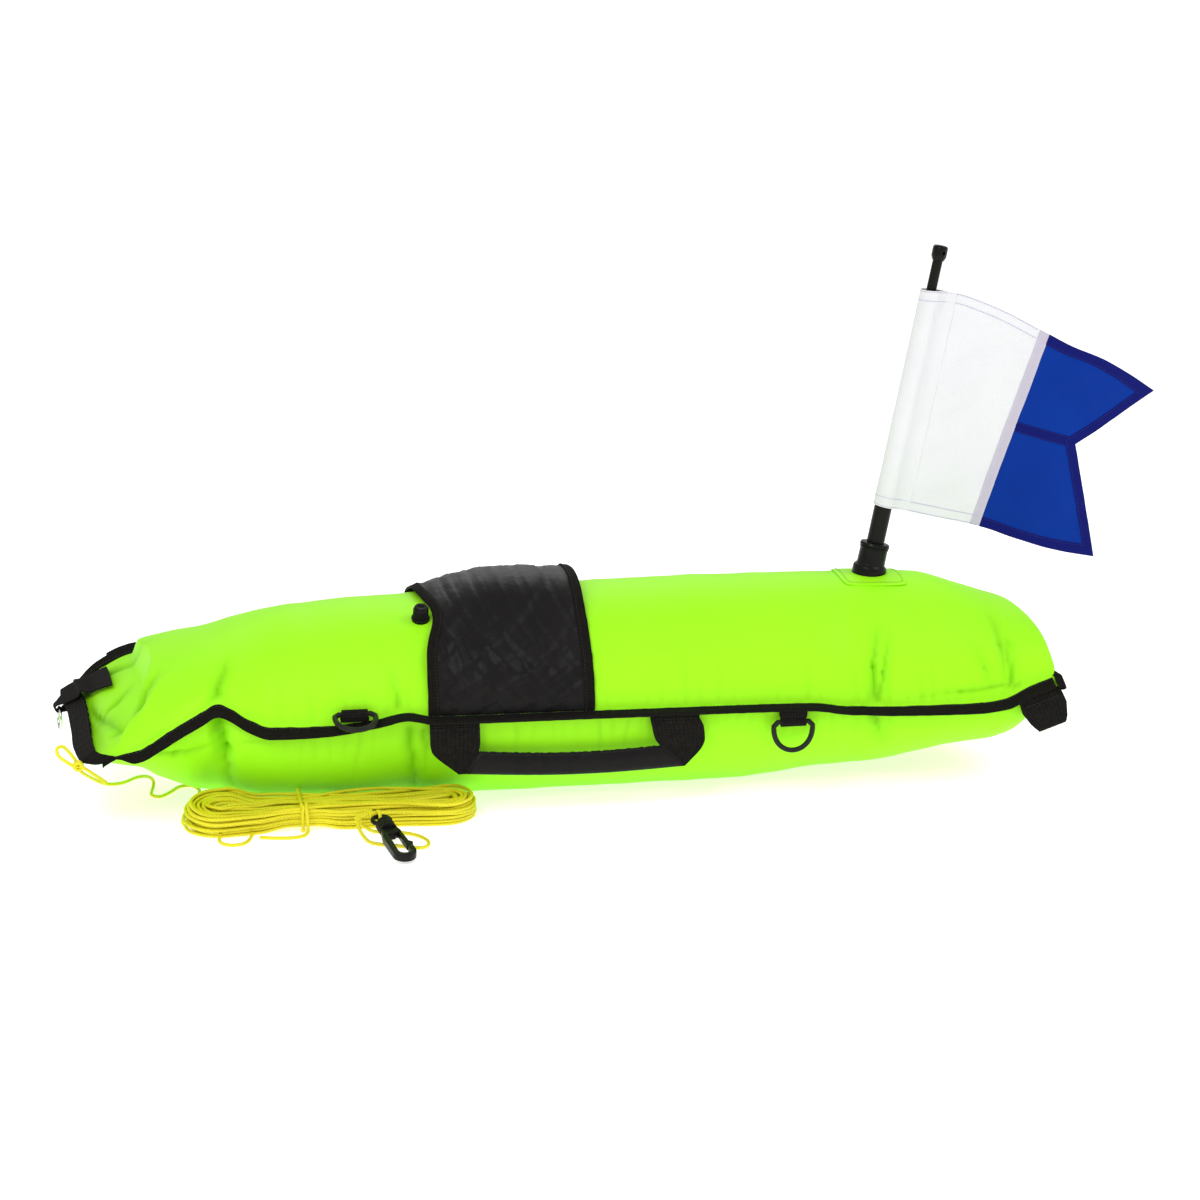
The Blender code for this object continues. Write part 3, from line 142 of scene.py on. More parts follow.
floor_finish, tree, shader = finish_of("studio_sweep", (0.93, 0.93, 0.925), 0.9, Emission_Strength=0.55)
shader.inputs["Emission Color"].default_value = (1, 1, 1, 1)
grain = add(tree, "ShaderNodeTexNoise", {"Scale": 3.0, "Detail": 2.0}).outputs["Fac"]
feed(tree, shader, Base_Color=mixed(tree, grain, (0.92, 0.92, 0.915), (0.94, 0.94, 0.935)))
bpy.ops.mesh.primitive_plane_add(size=60, location=(0, 0, 0))
floor = bpy.context.object
floor.name = "studio_floor"
floor.data.materials.append(floor_finish)
floor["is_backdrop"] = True

# Hull: an upper and a lower panel of coated fabric in a safety colour, welded round a flat flange and blown
# up hard. The weld gathers the fabric in short puckers, with a deep fold where the nose and tail turn up.
hull_length, hull_height, hull_half_width, nose_x = 0.920, 0.196, 0.118, -0.454
skin_stand = 0.0013
side_flange, nose_flange, tail_flange = 0.0135, 0.020, 0.008
nose_skew, nose_zone, bow_zone, shelf_drop = 0.016, 0.2, 0.07, 0.62
tail_skew, tail_push, tail_bulge, tail_zone = 0.0105, 0.001, 0.015, 0.86
box_top, box_under, box_from, box_over = 0.28, 0.2, 0.91, 0.07
bulge_from, bulge_over, bulge_end = 0.94, 0.045, 0.0015
nose_droop = math.radians(30)
waists, waist_spread = ((0.1185, 0.05), (0.80, 0.04)), 0.018


def eased(share):
    """A share from 0 to 1 that starts and stops softly."""
    return share * share * (3 - 2 * share)


def smooth_through(*pairs):
    """A smooth curve through pairs that never overshoots them, as a function of a table of places."""
    xs, ys = np.array(pairs, float).T
    steps = np.diff(xs)
    rises = np.diff(ys) / steps
    slopes = np.zeros(len(xs))
    slopes[0], slopes[-1] = rises[0], rises[-1]
    same = rises[:-1] * rises[1:] > 0
    both = np.where(same, rises[:-1] + rises[1:], 1)
    slopes[1:-1] = np.where(same, 2 * rises[:-1] * rises[1:] / both, 0)

    def read(at):
        """The curve's height at a place."""
        i = np.clip(np.searchsorted(xs, at) - 1, 0, len(steps) - 1)
        t = (at - xs[i]) / steps[i]
        bow = eased(t)
        return (
            ys[i] * (1 - bow) + ys[i + 1] * bow
            + steps[i] * (slopes[i] * t * (1 - t) ** 2 - slopes[i + 1] * t * t * (1 - t))
        )

    return read


crest_line = smooth_through(
    (0, 0.286), (0.015, 0.49), (0.0315, 0.615), (0.048, 0.70), (0.063, 0.742), (0.112, 0.815),
    (0.154, 0.875), (0.218, 0.930), (0.325, 0.964), (0.521, 0.99), (0.652, 1.0), (0.809, 0.99),
    (0.900, 0.970), (0.928, 0.930), (0.955, 0.882), (0.984, 0.815), (0.9915, 0.78), (0.9955, 0.715),
    (0.9985, 0.63), (0.9997, 0.56), (1, 0.51),
)
keel_line = smooth_through(
    (0, 0.34), (0.010, 0.31), (0.037, 0.262), (0.059, 0.17), (0.108, 0.055), (0.167, 0.005),
    (0.222, -0.026), (0.30, -0.03), (0.68, -0.03), (0.733, -0.005), (0.776, 0.02), (0.841, 0.041),
    (0.9065, 0.105), (0.97, 0.155), (0.991, 0.27), (1, 0.51),
)
near_seam = smooth_through(
    (0, 0.396), (0.029, 0.418), (0.053, 0.474), (0.079, 0.541), (0.103, 0.592), (0.1185, 0.622),
    (0.134, 0.597), (0.151, 0.546), (0.175, 0.50), (0.236, 0.49), (0.286, 0.51), (0.315, 0.535),
    (0.345, 0.51), (0.511, 0.50), (0.745, 0.485), (0.80, 0.450), (0.925, 0.444), (0.955, 0.46),
    (0.975, 0.51), (1, 0.561),
)
far_seam = smooth_through(
    (0, 0.418), (0.02, 0.495), (0.045, 0.555), (0.09, 0.595), (0.1185, 0.60), (0.16, 0.54),
    (0.22, 0.505), (0.5, 0.50), (0.8, 0.46), (0.93, 0.45), (1, 0.55),
)
rear_droop = ((0.2, 32), (0.3, 10), (0.7, 8), (0.82, 16), (0.93, 26), (1, 26))
near_droop = smooth_through((0, 26), (0.03, 34), (0.08, 46), (0.13, 44), *rear_droop)
far_droop = smooth_through((0, -8), (0.015, -30), (0.05, -38), (0.085, 0), (0.13, 40), *rear_droop)
nose_shelf = smooth_through(
    (0, 0.010), (0.12, 0.018), (0.3, 0.042), (0.5, 0.060), (0.7, 0.054), (0.9, 0.060), (1, 0.060),
)
nose_bow = smooth_through(
    (0, 0), (0.08, 0.007), (0.18, 0.015), (0.33, 0.0128), (0.5, 0.006), (0.75, 0), (1, 0),
)


def droop_of(f, side):
    """How far a side flange hangs from level, in radians."""
    return np.radians((near_droop if side < 0 else far_droop)(f))


def along(x):
    """The fraction of the hull's length at a distance x, away from the skewed nose."""
    return (x - nose_x) / hull_length


def weld(f, t):
    """Points of the weld between the panels, at fractions of the length and of the way over."""
    f, t = np.broadcast_arrays(np.asarray(f, float), np.asarray(t, float))
    over = -np.cos(np.pi * t)
    near, far = near_seam(f) * hull_height, far_seam(f) * hull_height
    width = hull_half_width
    for place, depth in waists:
        width = width * (1 - depth * np.exp(-(((f - place) / waist_spread) ** 2)))
    skew = over * nose_skew * np.maximum(0, 1 - f / nose_zone) ** 2
    bow = nose_bow(t) * np.maximum(0, 1 - f / bow_zone) ** 1.5
    tail = np.clip((f - tail_zone) / (1 - tail_zone), 0, 1) ** 2 * (tail_push - tail_skew * over)
    x = nose_x + f * hull_length - skew - bow + tail
    return np.stack([x, over * width, near + (far - near) * (over + 1) / 2], -1)


def hull_skin(f, t, top=True):
    """Points on the outside of the smooth hull."""
    f, t = np.broadcast_arrays(np.asarray(f, float), np.asarray(t, float))
    points = weld(f, t)
    middle = (near_seam(f) + far_seam(f)) / 2 * hull_height
    edge = (crest_line if top else keel_line)(f) * hull_height
    swell = np.clip(np.sin(np.pi * t), 0, 1)
    boxy = 1 - (box_top if top else box_under) * np.clip((f - box_from) / box_over, 0, 1)
    rise = (edge - middle) * swell**boxy
    if top:
        rise = rise * (1 - shelf_drop * eased(np.clip((nose_shelf(t) - f) / 0.010, 0, 1)))
        full = np.clip((f - bulge_from) / bulge_over, 0, 1) ** 2
        full = full * np.clip((1 - f) / bulge_end, 0, 1) ** 0.5
        points[..., 0] += tail_bulge * full * swell**0.7
    points[..., 2] += rise + (skin_stand if top else -skin_stand)
    points[..., 2] = np.maximum(0, points[..., 2])
    return points


def unit(vectors):
    """The same vectors with a length of one."""
    return vectors / np.maximum(np.linalg.norm(vectors, axis=-1, keepdims=True), 1e-12)


def facing_out(points, top=True):
    """Outward normals of a table of points, its rows towards the tail and columns to the far side."""
    out = unit(np.cross(np.gradient(points, axis=0), np.gradient(points, axis=1)))
    return out if top else -out


def skin_out(f, t, small):
    """The way out of the smooth upper panel, read a small step to each side."""
    ahead = hull_skin(f + small, t) - hull_skin(f - small, t)
    across = hull_skin(f, t + small) - hull_skin(f, t - small)
    return unit(np.cross(ahead, across))


nose_out = np.array([-math.cos(nose_droop), 0, -math.sin(nose_droop)])
tail_out = np.array([1.0, 0, 0])


def side_frames(f, side):
    """Weld points along one side, with the way out of the flange and the way up from it."""
    seam = weld(f, 0.0 if side < 0 else 1.0)
    droop = droop_of(f, side)
    out = np.stack([0 * f, side * np.cos(droop), -np.sin(droop)], -1)
    up = unit(np.cross(out, np.gradient(seam, axis=0)))
    up = up * np.sign(up[:, 2:])
    for place, ahead in ((0, nose_out), (1, tail_out)):
        share = 0.5 * np.exp(-np.abs(f - place) * hull_length / 0.006)[:, None]
        corner = end_frames(np.array([0.0, 0.01]) if side < 0 else np.array([0.99, 1.0]), ahead, place)[2]
        up = unit(up * (1 - share) + corner[0 if side < 0 else -1] * share)
    return seam, out, up


def end_frames(t, ahead, f):
    """Weld points across one end, with the way out of the flange and the way up from it."""
    seam = weld(float(f), t)
    up = unit(np.cross(np.broadcast_to(ahead, seam.shape), np.gradient(seam, axis=0)))
    return seam, np.broadcast_to(ahead, seam.shape), up * np.sign(up[:, 2:])


def alone(*pieces):
    """Selects these pieces only, with the first one active."""
    bpy.ops.object.select_all(action="DESELECT")
    for piece in pieces:
        piece.select_set(True)
    bpy.context.view_layer.objects.active = pieces[0]


def close_seams(piece):
    """Merges a piece's points where its edges meet."""
    alone(piece)
    bpy.ops.object.mode_set(mode="EDIT")
    bpy.ops.mesh.select_all(action="SELECT")
    bpy.ops.mesh.remove_doubles(threshold=1e-6)
    bpy.ops.object.mode_set(mode="OBJECT")


def run_along(path):
    """The distance along a path to each of its points."""
    return np.concatenate([[0], np.cumsum(np.linalg.norm(np.diff(path, axis=0), axis=1))])


def read_at(at, run, table):
    """The rows of a table at distances along it."""
    return np.stack([np.interp(at, run, table[:, k]) for k in range(3)], 1)


def loft(name, points, thickness=0.0, offset=0.0, merge=False, angle=40):
    """Cloth: a grid primitive whose points are moved to a table of places, then given its thickness.
    Its UV map holds metres along its rows and over its columns."""
    rows, cols = points.shape[:2]
    bpy.ops.mesh.primitive_grid_add(x_subdivisions=cols - 1, y_subdivisions=rows - 1)
    piece = bpy.context.object
    piece.name = piece.data.name = name
    piece.data.vertices.foreach_set("co", points.astype(np.float32).ravel())
    run = np.concatenate([[0], np.cumsum(np.linalg.norm(np.diff(points, axis=0), axis=2).mean(1))])
    over = np.concatenate([[0], np.cumsum(np.linalg.norm(np.diff(points, axis=1), axis=2).mean(0))])
    table = np.stack(np.broadcast_arrays(run[:, None], over[None, :]), -1).reshape(-1, 2)
    corners = np.empty(len(piece.data.loops), np.int32)
    piece.data.loops.foreach_get("vertex_index", corners)
    piece.data.uv_layers.active.data.foreach_set("uv", table[corners].astype(np.float32).ravel())
    if merge:
        close_seams(piece)
    if thickness:
        wall = piece.modifiers.new("wall", "SOLIDIFY")
        wall.thickness, wall.offset = thickness, offset
        bpy.ops.object.modifier_apply(modifier=wall.name)
    return smooth(face_outwards(piece), angle)


def face_outwards(piece):
    """Turns a closed piece right side out if its faces enclose a negative volume."""
    mesh = piece.data
    mesh.calc_loop_triangles()
    places = np.empty(len(mesh.vertices) * 3, np.float32)
    mesh.vertices.foreach_get("co", places)
    triangles = np.empty(len(mesh.loop_triangles) * 3, np.int32)
    mesh.loop_triangles.foreach_get("vertices", triangles)
    a, b, c = places.reshape(-1, 3)[triangles.reshape(-1, 3)].astype(float).transpose(1, 0, 2)
    if np.einsum("ij,ij->i", a, np.cross(b, c)).sum() < 0:
        mesh.flip_normals()
    return piece


def smooth(piece, angle=40):
    """Shades a piece smooth, except across edges sharper than an angle."""
    alone(piece)
    bpy.ops.object.shade_smooth_by_angle(angle=math.radians(angle))
    return piece


def fit(piece, body, slot, finish, *nodes):
    """Gives a piece its finish and its body, unless that is set apart, and hides the solids that it stands
    for.
    """
    piece.data.materials.clear()
    piece.data.materials.append(finish)
    if body:
        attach(piece, body)
    if nodes:
        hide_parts(*nodes)
    return piece


def drift(at, wavelength, seed=0.0):
    """A slow wander between about -1 and 1: three sines that don't fall into step."""
    turn = np.asarray(at) * 2 * np.pi / wavelength
    return (
        np.sin(turn + seed) + 0.6 * np.sin(turn * 1.618 + 2.3 * seed) + 0.4 * np.sin(turn * 2.7 + 4.1 * seed)
    ) / 2


# Folds seen in the blown-up fabric: start and end in millimetres, depth, width, share of depth at each end
folds = (
    ((-328, -75, 159), (-344, -112, 125), 4.5, 6.0, 0.1, 1.0),
    ((-318, -92, 150), (-328, -113, 127), -2.2, 6.0, 0.2, 1.0),
    ((-352, -90, 150), (-352, -112, 126), -2.0, 7.0, 0.2, 1.0),
    ((-342, -112, 112), (-336, -104, 74), 5.5, 6.5, 1.0, 0.8),
    ((-336, -104, 74), (-328, -72, 30), 4.5, 7.0, 0.8, 0.3),
    ((-353, -118, 106), (-347, -104, 60), -2.2, 7.0, 1.0, 0.3),
    ((-323, -112, 95), (-318, -98, 50), -2.0, 7.0, 1.0, 0.3),
    ((-395, -50, 143), (-414, -80, 114), 4.2, 7.0, 0.1, 1.0),
    ((-414, -80, 114), (-434, -80, 82), 4.2, 7.0, 1.0, 0.6),
    ((-385, -62, 138), (-404, -92, 108), -2.6, 7.0, 0.2, 0.8),
    ((-426, 3, 125), (-438, -9, 101), 2.4, 6.0, 0.2, 1.0),
    ((-438, -9, 101), (-446, -13, 76), 2.4, 6.0, 1.0, 0.8),
    ((-464, 52, 77), (-449, 5, 76), 2.2, 5.0, 1.0, 1.0),
    ((-449, 5, 76), (-432, -76, 88), 2.6, 6.0, 1.0, 0.8),
    ((-416, -125, 76), (-382, -112, 75), 1.8, 4.0, 0.6, 1.0),
    ((-382, -112, 75), (-348, -106, 81), 1.8, 4.0, 1.0, 0.4),
    ((-326, -111, 85), (-254, -117, 84), 0.9, 2.4, 1.0, 0.5),
    ((-177, -96, 153), (-171, -116, 112), 1.8, 5.0, 0.0, 1.0),
    ((-160, -115, 88), (-152, -80, 25), 3.2, 6.0, 1.0, 0.5),
    ((-146, -115, 86), (-144, -93, 36), 1.8, 5.0, 1.0, 0.2),
    ((308, -80, 165), (297, -107, 128), 2.6, 4.5, 0.1, 0.9),
    ((297, -107, 128), (299, -116, 96), 3.0, 4.5, 0.9, 1.0),
    ((320, -84, 161), (308, -110, 123), 2.0, 4.0, 0.1, 1.0),
    ((308, -110, 123), (301, -116, 96), 2.0, 4.0, 1.0, 0.9),
    ((298, -114, 80), (312, -100, 46), 3.0, 5.0, 1.0, 0.1),
    ((442, -60, 150), (442, -99, 135), -2.2, 4.0, 0.3, 1.0),
    ((442, -99, 135), (442, -118, 106), -2.6, 3.6, 1.0, 0.8),
    ((436, -90, 140), (437, -117, 106), 2.2, 4.5, 0.4, 1.0),
    ((328, -117, 98), (384, -117, 98), 1.0, 3.0, 0.2, 1.0),
    ((384, -117, 98), (441, -117, 104), 1.6, 3.0, 1.0, 1.0),
    ((427, -63, 159), (430, -95, 139), 1.6, 5.0, 0.2, 1.0),
    ((430, -95, 139), (429, -115, 109), 1.6, 5.0, 1.0, 0.6),
    ((400, -94, 145), (411, -110, 120), 1.2, 5.0, 0.2, 1.0),
    ((411, -110, 120), (415, -117, 102), 1.2, 5.0, 1.0, 0.6),
    ((-340, 78, 158), (-345, 112, 122), 4.2, 6.0, 0.1, 1.0),
    ((-344, 112, 106), (-332, 80, 34), 4.8, 7.0, 1.0, 0.3),
    ((-400, 40, 140), (-436, 84, 96), 3.6, 7.0, 0.2, 1.0),
    ((284, 84, 164), (282, 116, 96), 3.4, 5.0, 0.1, 1.0),
    ((283, 114, 80), (290, 98, 44), 3.0, 5.5, 1.0, 0.1),
    ((330, 117, 97), (440, 117, 102), 1.4, 3.0, 0.3, 1.0),
    ((442, 60, 150), (442, 118, 106), -2.2, 4.0, 0.5, 1.0),
)
fold_gain, ripple_depth, ripple_length, edge_hold = 1.8, 0.0005, 0.085, 0.004


def fold_depth(points, start, end, depth, width, start_share, end_share):
    """How far a fold draws the skin in, in metres, with a lip on both sides, and how much painted shade its
    line gets.
    """
    skin = points.reshape(-1, 3)
    wanted = np.array(start) / 1000 + np.linspace(0, 1, 9)[:, None] * (np.array(end) - start) / 1000
    laid = np.array([skin[((skin - place) ** 2).sum(1).argmin()] for place in wanted])
    if np.linalg.norm(laid[4] - wanted[4]) > 0.016:
        return 0.0, 0.0
    away, along_it = np.full(points.shape[:-1], 1.0), np.zeros(points.shape[:-1])
    for i, (a, b) in enumerate(zip(laid, laid[1:])):
        share = np.clip((points - a) @ (b - a) / max((b - a) @ (b - a), 1e-12), 0, 1)
        distance = np.linalg.norm(points - (a + share[..., None] * (b - a)), axis=-1)
        along_it = np.where(distance < away, (i + share) / 8, along_it)
        away = np.minimum(away, distance)
    away = away / (width / 1000)
    strength = start_share + (end_share - start_share) * along_it
    drawn = depth / 1000 * strength * (np.exp(-away) - 0.35 * np.exp(-((away / 2.4) ** 2)))
    # The painted shade along the fold's line.
    line = min(1.0, abs(depth) / 2.6) * strength * np.exp(-0.9 * away)
    return drawn, line


def pucker_depth(x, from_weld, draw):
    """Short upright gathers along one weld of one panel."""
    total, place = np.zeros_like(x), -0.30
    while place < 0.42:
        place += draw.uniform(0.009, 0.021)
        tall, wide = draw.uniform(0.012, 0.036), draw.uniform(0.0026, 0.0046)
        deep = draw.uniform(0.00025, 0.0009)
        if draw.random() < 0.22:
            tall, deep = tall * 1.9, deep * 1.4
        side = (x - place - draw.uniform(-0.12, 0.12) * from_weld) / wide
        total += deep * (1 - side**2) * np.exp(-(side**2) / 1.6) * np.exp(-((from_weld / tall) ** 1.5))
    return total


def blown_panel(f_rows, t_cols, top):
    """A panel's outside with its folds and puckers, and how much painted crease shade each of its points
    gets.
    """
    f, t = np.meshgrid(f_rows, t_cols, indexing="ij")
    points = hull_skin(f, t, top)
    over = np.linalg.norm(np.diff(points, axis=1), axis=2)
    from_near = np.concatenate([np.zeros((len(f_rows), 1)), np.cumsum(over, axis=1)], 1)
    from_far = from_near[:, -1:] - from_near
    run = np.linalg.norm(np.diff(points, axis=0), axis=2)
    from_nose = np.concatenate([np.zeros((1, len(t_cols))), np.cumsum(run, axis=0)], 0)
    from_tail = from_nose[-1:] - from_nose
    inward, crease_line_shade = np.zeros_like(f), np.zeros_like(f)
    for fold in folds:
        drawn, line = fold_depth(points, *fold)
        inward = inward + fold_gain * drawn
        crease_line_shade = np.maximum(crease_line_shade, line) if fold[2] > 0 else crease_line_shade
    draw = np.random.default_rng(5 if top else 9)
    gathers = sum(pucker_depth(points[..., 0], from_weld, draw) for from_weld in (from_near, from_far))
    inward = inward + gathers
    # Painted crease shade: fold lines, puckers and the deepest spots get a darker colour in the hull's
    # material.
    painted_crease_shade = np.clip(crease_line_shade + gathers / 0.006 + np.clip(inward, -0.002, 0.004) / 0.012, -0.6, 1)
    ripple = drift(points[..., 0] + 0.4 * points[..., 2], ripple_length, 1.3)
    inward += ripple_depth * ripple * np.sin(np.pi * t)
    for from_edge in (from_near, from_far, from_nose, from_tail):
        hold = 1 - np.exp(-from_edge / edge_hold)
        inward, painted_crease_shade = inward * hold, painted_crease_shade * hold
    points = points - facing_out(points, top) * inward[..., None]
    points[..., 2] = np.maximum(0, points[..., 2])
    return points, painted_crease_shade


def flange_reach(t):
    """How far the nose flange stands out: it narrows towards the near corner."""
    return nose_flange - 0.007 * np.clip((0.45 - np.asarray(t)) / 0.45, 0, 1) ** 1.5


def side_reach(f, side):
    """How far a side flange stands out: it is turned in at the near corner of the nose."""
    turned_in = 1 - np.clip(np.asarray(f) / 0.024, 0, 1)
    return side_flange * (1 - (0.70 if side < 0 else 0.0) * eased(turned_in))


f_rows = np.unique(np.concatenate([
    np.linspace(0, 0.07, 49), np.linspace(0.07, 0.93, 259), 1 - 0.07 * np.linspace(0, 1, 53) ** 2,
]))
t_cols = np.linspace(0, 1, 119)
panels, painted_crease_shades = [], []
for top in (True, False):
    table, painted_crease_shade = blown_panel(f_rows, t_cols, top)
    for side, column in ((-1, 0), (1, -1)):
        seam, out, up = side_frames(f_rows, side)
        table[:, column] = seam + up * (skin_stand if top else -skin_stand)
    ends = []
    for place, ahead, reach in ((0, nose_out, flange_reach(t_cols)), (1, tail_out, tail_flange)):
        out = ahead * np.broadcast_to(reach, t_cols.shape)[:, None]
        ends.append(end_frames(t_cols, ahead, place)[0] + out)
    panels.append(np.concatenate([ends[0][None], table, ends[1][None]]))
    painted_crease_shades.append(np.pad(painted_crease_shade, ((1, 1), (0, 0))))
sides = []
for side, t_edge in ((-1, 0), (1, 1)):
    seam, out, up = side_frames(f_rows, side)
    edge = seam + out * side_reach(f_rows, side)[:, None]
    nose_corner, tail_corner = edge[0] + nose_out * flange_reach(t_edge), edge[-1] + tail_out * tail_flange
    sides.append(np.concatenate([nose_corner[None], edge, tail_corner[None]])[:, None])
rings = np.concatenate([sides[0], panels[0], sides[1], panels[1][:, ::-1], sides[0]], 1)
none = np.zeros((len(rings), 1))
ring_crease_shade = np.concatenate([none, painted_crease_shades[0], none, painted_crease_shades[1][:, ::-1], none], 1)
hull = loft("hull", rings, angle=60)
# The fold attribute carries the painted crease shade to the hull's material.
mark = hull.data.attributes.new("fold", "FLOAT", "POINT")
mark.data.foreach_set("value", ring_crease_shade.astype(np.float32).ravel())
close_seams(hull)


def maths(tree, operation, *values, clamp=False):
    """The result of a maths node, from plain numbers or from other nodes."""
    made = add(tree, "ShaderNodeMath", dict(enumerate(values)), operation=operation, use_clamp=clamp)
    return made.outputs[0]


weave = bpy.data.node_groups.new("plain_weave", "ShaderNodeTree")
weave.interface.new_socket(name="Vector", in_out="INPUT", socket_type="NodeSocketVector")
weave.interface.new_socket(name="Threads", in_out="INPUT", socket_type="NodeSocketFloat")
weave.interface.new_socket(name="Height", in_out="OUTPUT", socket_type="NodeSocketFloat")
weave_in, weave_out = weave.nodes.new("NodeGroupInput"), weave.nodes.new("NodeGroupOutput")
turns = add(
    weave, "ShaderNodeVectorMath", {0: weave_in.outputs["Vector"], "Scale": weave_in.outputs["Threads"]},
    operation="SCALE",
)
parts = add(weave, "ShaderNodeSeparateXYZ", {0: turns.outputs[0]})
waves = [maths(weave, "SINE", maths(weave, "MULTIPLY", parts.outputs[k], math.pi)) for k in (0, 1)]
level = maths(weave, "MULTIPLY_ADD", maths(weave, "MULTIPLY", *waves), 0.5, 0.5)
weave.links.new(level, weave_out.inputs["Height"])


def woven(tree, uv, threads):
    """The height of a plain weave with so many threads to the metre."""
    made = add(tree, "ShaderNodeGroup", {"Vector": uv, "Threads": threads}, node_tree=weave)
    return made.outputs["Height"]


def noise(tree, places, scale, detail):
    """Cloudy noise over a surface."""
    made = add(tree, "ShaderNodeTexNoise", {"Vector": places, "Scale": scale, "Detail": detail})
    return made.outputs["Fac"]


def raised(tree, height, distance, strength, **under):
    """A normal raised by a height, on top of another normal if one is given."""
    heights = {"Height": height, "Distance": distance, "Strength": strength, **under}
    return add(tree, "ShaderNodeBump", heights).outputs["Normal"]


hull_fabric, tree, shader = finish_of(
    "coated_safety_fabric", (0.345, 0.93, 0.010), 0.50, Specular_IOR_Level=0.14,
)
where = add(tree, "ShaderNodeTexCoord").outputs
fold_shade_mark = add(tree, "ShaderNodeAttribute", attribute_name="fold").outputs["Fac"]
base = mixed(tree, noise(tree, where["Object"], 9.0, 3.0), (0.335, 0.90, 0.009), (0.365, 0.95, 0.011))
# Painted shade: the colour turns a darker olive along the creases, following the fold attribute.
shade = mixed(tree, maths(tree, "MULTIPLY", fold_shade_mark, 1.05, clamp=True), base, (0.205, 0.63, 0.002))
threads = woven(tree, where["UV"], 1400)
thread_tone = mixed(tree, maths(tree, "MULTIPLY", threads, 0.10), shade, (0.42, 1.0, 0.03))
crinkle = raised(tree, noise(tree, where["Object"], 60.0, 4.0), 0.0006, 0.35)
feed(tree, shader, Base_Color=thread_tone, Normal=raised(tree, threads, 0.00008, 0.5, Normal=crinkle))
fit(hull, "float", "coated_fabric", hull_fabric, "hull_top_panel", "hull_bottom_panel")

# Edge binding: ribbed nylon tape folded round the flange and sewn through, along both sides and across the
# tail. Its rows of points run over the top, round the rim and back underneath.
binding_wall, binding_inset, binding_half = 0.0010, 0.0015, 0.0017


def tape(name, frames, reach, wall, inset=binding_inset, half=binding_half, seed=0.0, shut=False):
    """Tape folded round the flange, along weld points with ways out and up. Shut ends are pressed flat."""
    seam, out, up = (np.asarray(part) for part in frames)
    run = run_along(seam)
    edge = inset + 0.0005 * drift(run, 0.031, seed)
    under_edge = inset + 0.0006 * drift(run, 0.027, seed + 2)
    swell = 1 + 0.10 * drift(run, 0.019, seed + 1)
    rows = []
    for share in (0, 0.12, 0.4, 0.7, 1):
        rows.append((edge + (reach - edge) * share, half * (0.82 if share == 0.12 else 1) * swell))
    for step in range(1, 8):
        angle = math.pi / 2 - math.pi * step / 8
        rows.append((reach + half * 0.75 * math.cos(angle) + 0 * run, half * math.sin(angle) * swell))
    for share in (1, 0.7, 0.4, 0.12, 0):
        low = -half * (0.82 if share == 0.12 else 1) * swell
        rows.append((under_edge + (reach - under_edge) * share, low))
    if shut:
        flat = np.ones(len(run))
        flat[[0, -1]] = 0.04
        rows = [(a, b * flat) for a, b in rows]
    table = np.stack([
        seam + out * np.broadcast_to(a, run.shape)[:, None] + up * b[:, None] for a, b in rows
    ], 1)
    return loft(name, table, wall, 1.0, angle=50)


def ribbed(name, colour, ribs, depth, dark, light):
    """Ribbed nylon: ribs across a tape or webbing, from its UV map, with the warp between and some lint."""
    made, tree, shader = finish_of(name, colour, 0.85, Specular_IOR_Level=0.08)
    where = add(tree, "ShaderNodeTexCoord").outputs
    apart = add(tree, "ShaderNodeSeparateXYZ", {0: where["UV"]}).outputs
    rib = maths(tree, "ABSOLUTE", maths(tree, "SINE", maths(tree, "MULTIPLY", apart[0], ribs * math.pi)))
    warp = maths(tree, "SINE", maths(tree, "MULTIPLY", apart[1], 1900.0))
    both = maths(tree, "MULTIPLY_ADD", warp, 0.22, rib)
    tone = maths(tree, "MULTIPLY", noise(tree, where["Object"], 240.0, 3.0), both, clamp=True)
    feed(tree, shader, Base_Color=mixed(tree, tone, dark, light), Normal=raised(tree, both, depth, 0.9))
    return made


black_tape = ribbed(
    "black_ribbed_tape", (0.008, 0.0075, 0.006), 720, 0.0002,
    (0.0035, 0.003, 0.0025), (0.018, 0.0165, 0.013),
)


def past_nose(frames, reaches):
    """Carries the frames of a side on beyond the nose, where the band covers the tape's end."""
    seam, out, up = frames
    ahead = [seam[:1] + nose_out * reach for reach in reaches]
    return [np.concatenate([*ahead, seam])] + [
        np.concatenate([part[:1]] * len(reaches) + [part]) for part in (out, up)
    ]


near_side = [part[::-1] for part in past_nose(side_frames(f_rows, -1), (0.0024, 0.0012))]
far_side = past_nose(side_frames(f_rows, 1), (0.005, 0.0025))
tail_run = end_frames(t_cols, tail_out, 1)


def with_corners(frames, place):
    """Carries the frames of one end out to the edges of both side flanges."""
    seam, out, up = (np.array(part) for part in frames)
    ends = []
    for side, at in ((-1, 0), (1, -1)):
        droop = droop_of(place, side)
        away = np.array([0, side * math.cos(droop), -math.sin(droop)])
        reaches = (side_flange + 0.0028, side_flange + 0.0012, side_flange * 0.5)
        if side < 0 and place == 0:
            reaches = (side_flange * 0.40, side_flange * 0.28, side_flange * 0.14)
        ends.append([seam[at] + away * reach for reach in reaches[::-side]])
    held = [[np.repeat(part[at][None], 3, 0) for at in (0, -1)] for part in (out, up)]
    return [np.concatenate([ends[0], seam, ends[1]])] + [
        np.concatenate([first, part, last]) for part, (first, last) in zip((out, up), held)
    ]


near_reach = side_reach(np.concatenate([f_rows[::-1], [0.0, 0.0]]), -1)
tail_frames = with_corners(tail_run, 1.0)
for piece, node in (
    (tape("binding_near", near_side, near_reach, binding_wall, seed=1.0), "edge_binding_near"),
    (tape("binding_far", far_side, side_flange, binding_wall, seed=2.0), "edge_binding_far"),
    (
        tape("binding_tail", tail_frames, tail_flange, binding_wall, half=0.0021, seed=3.0, shut=True),
        "edge_binding_tail",
    ),
):
    fit(piece, "float", "black_tape", black_tape, node)

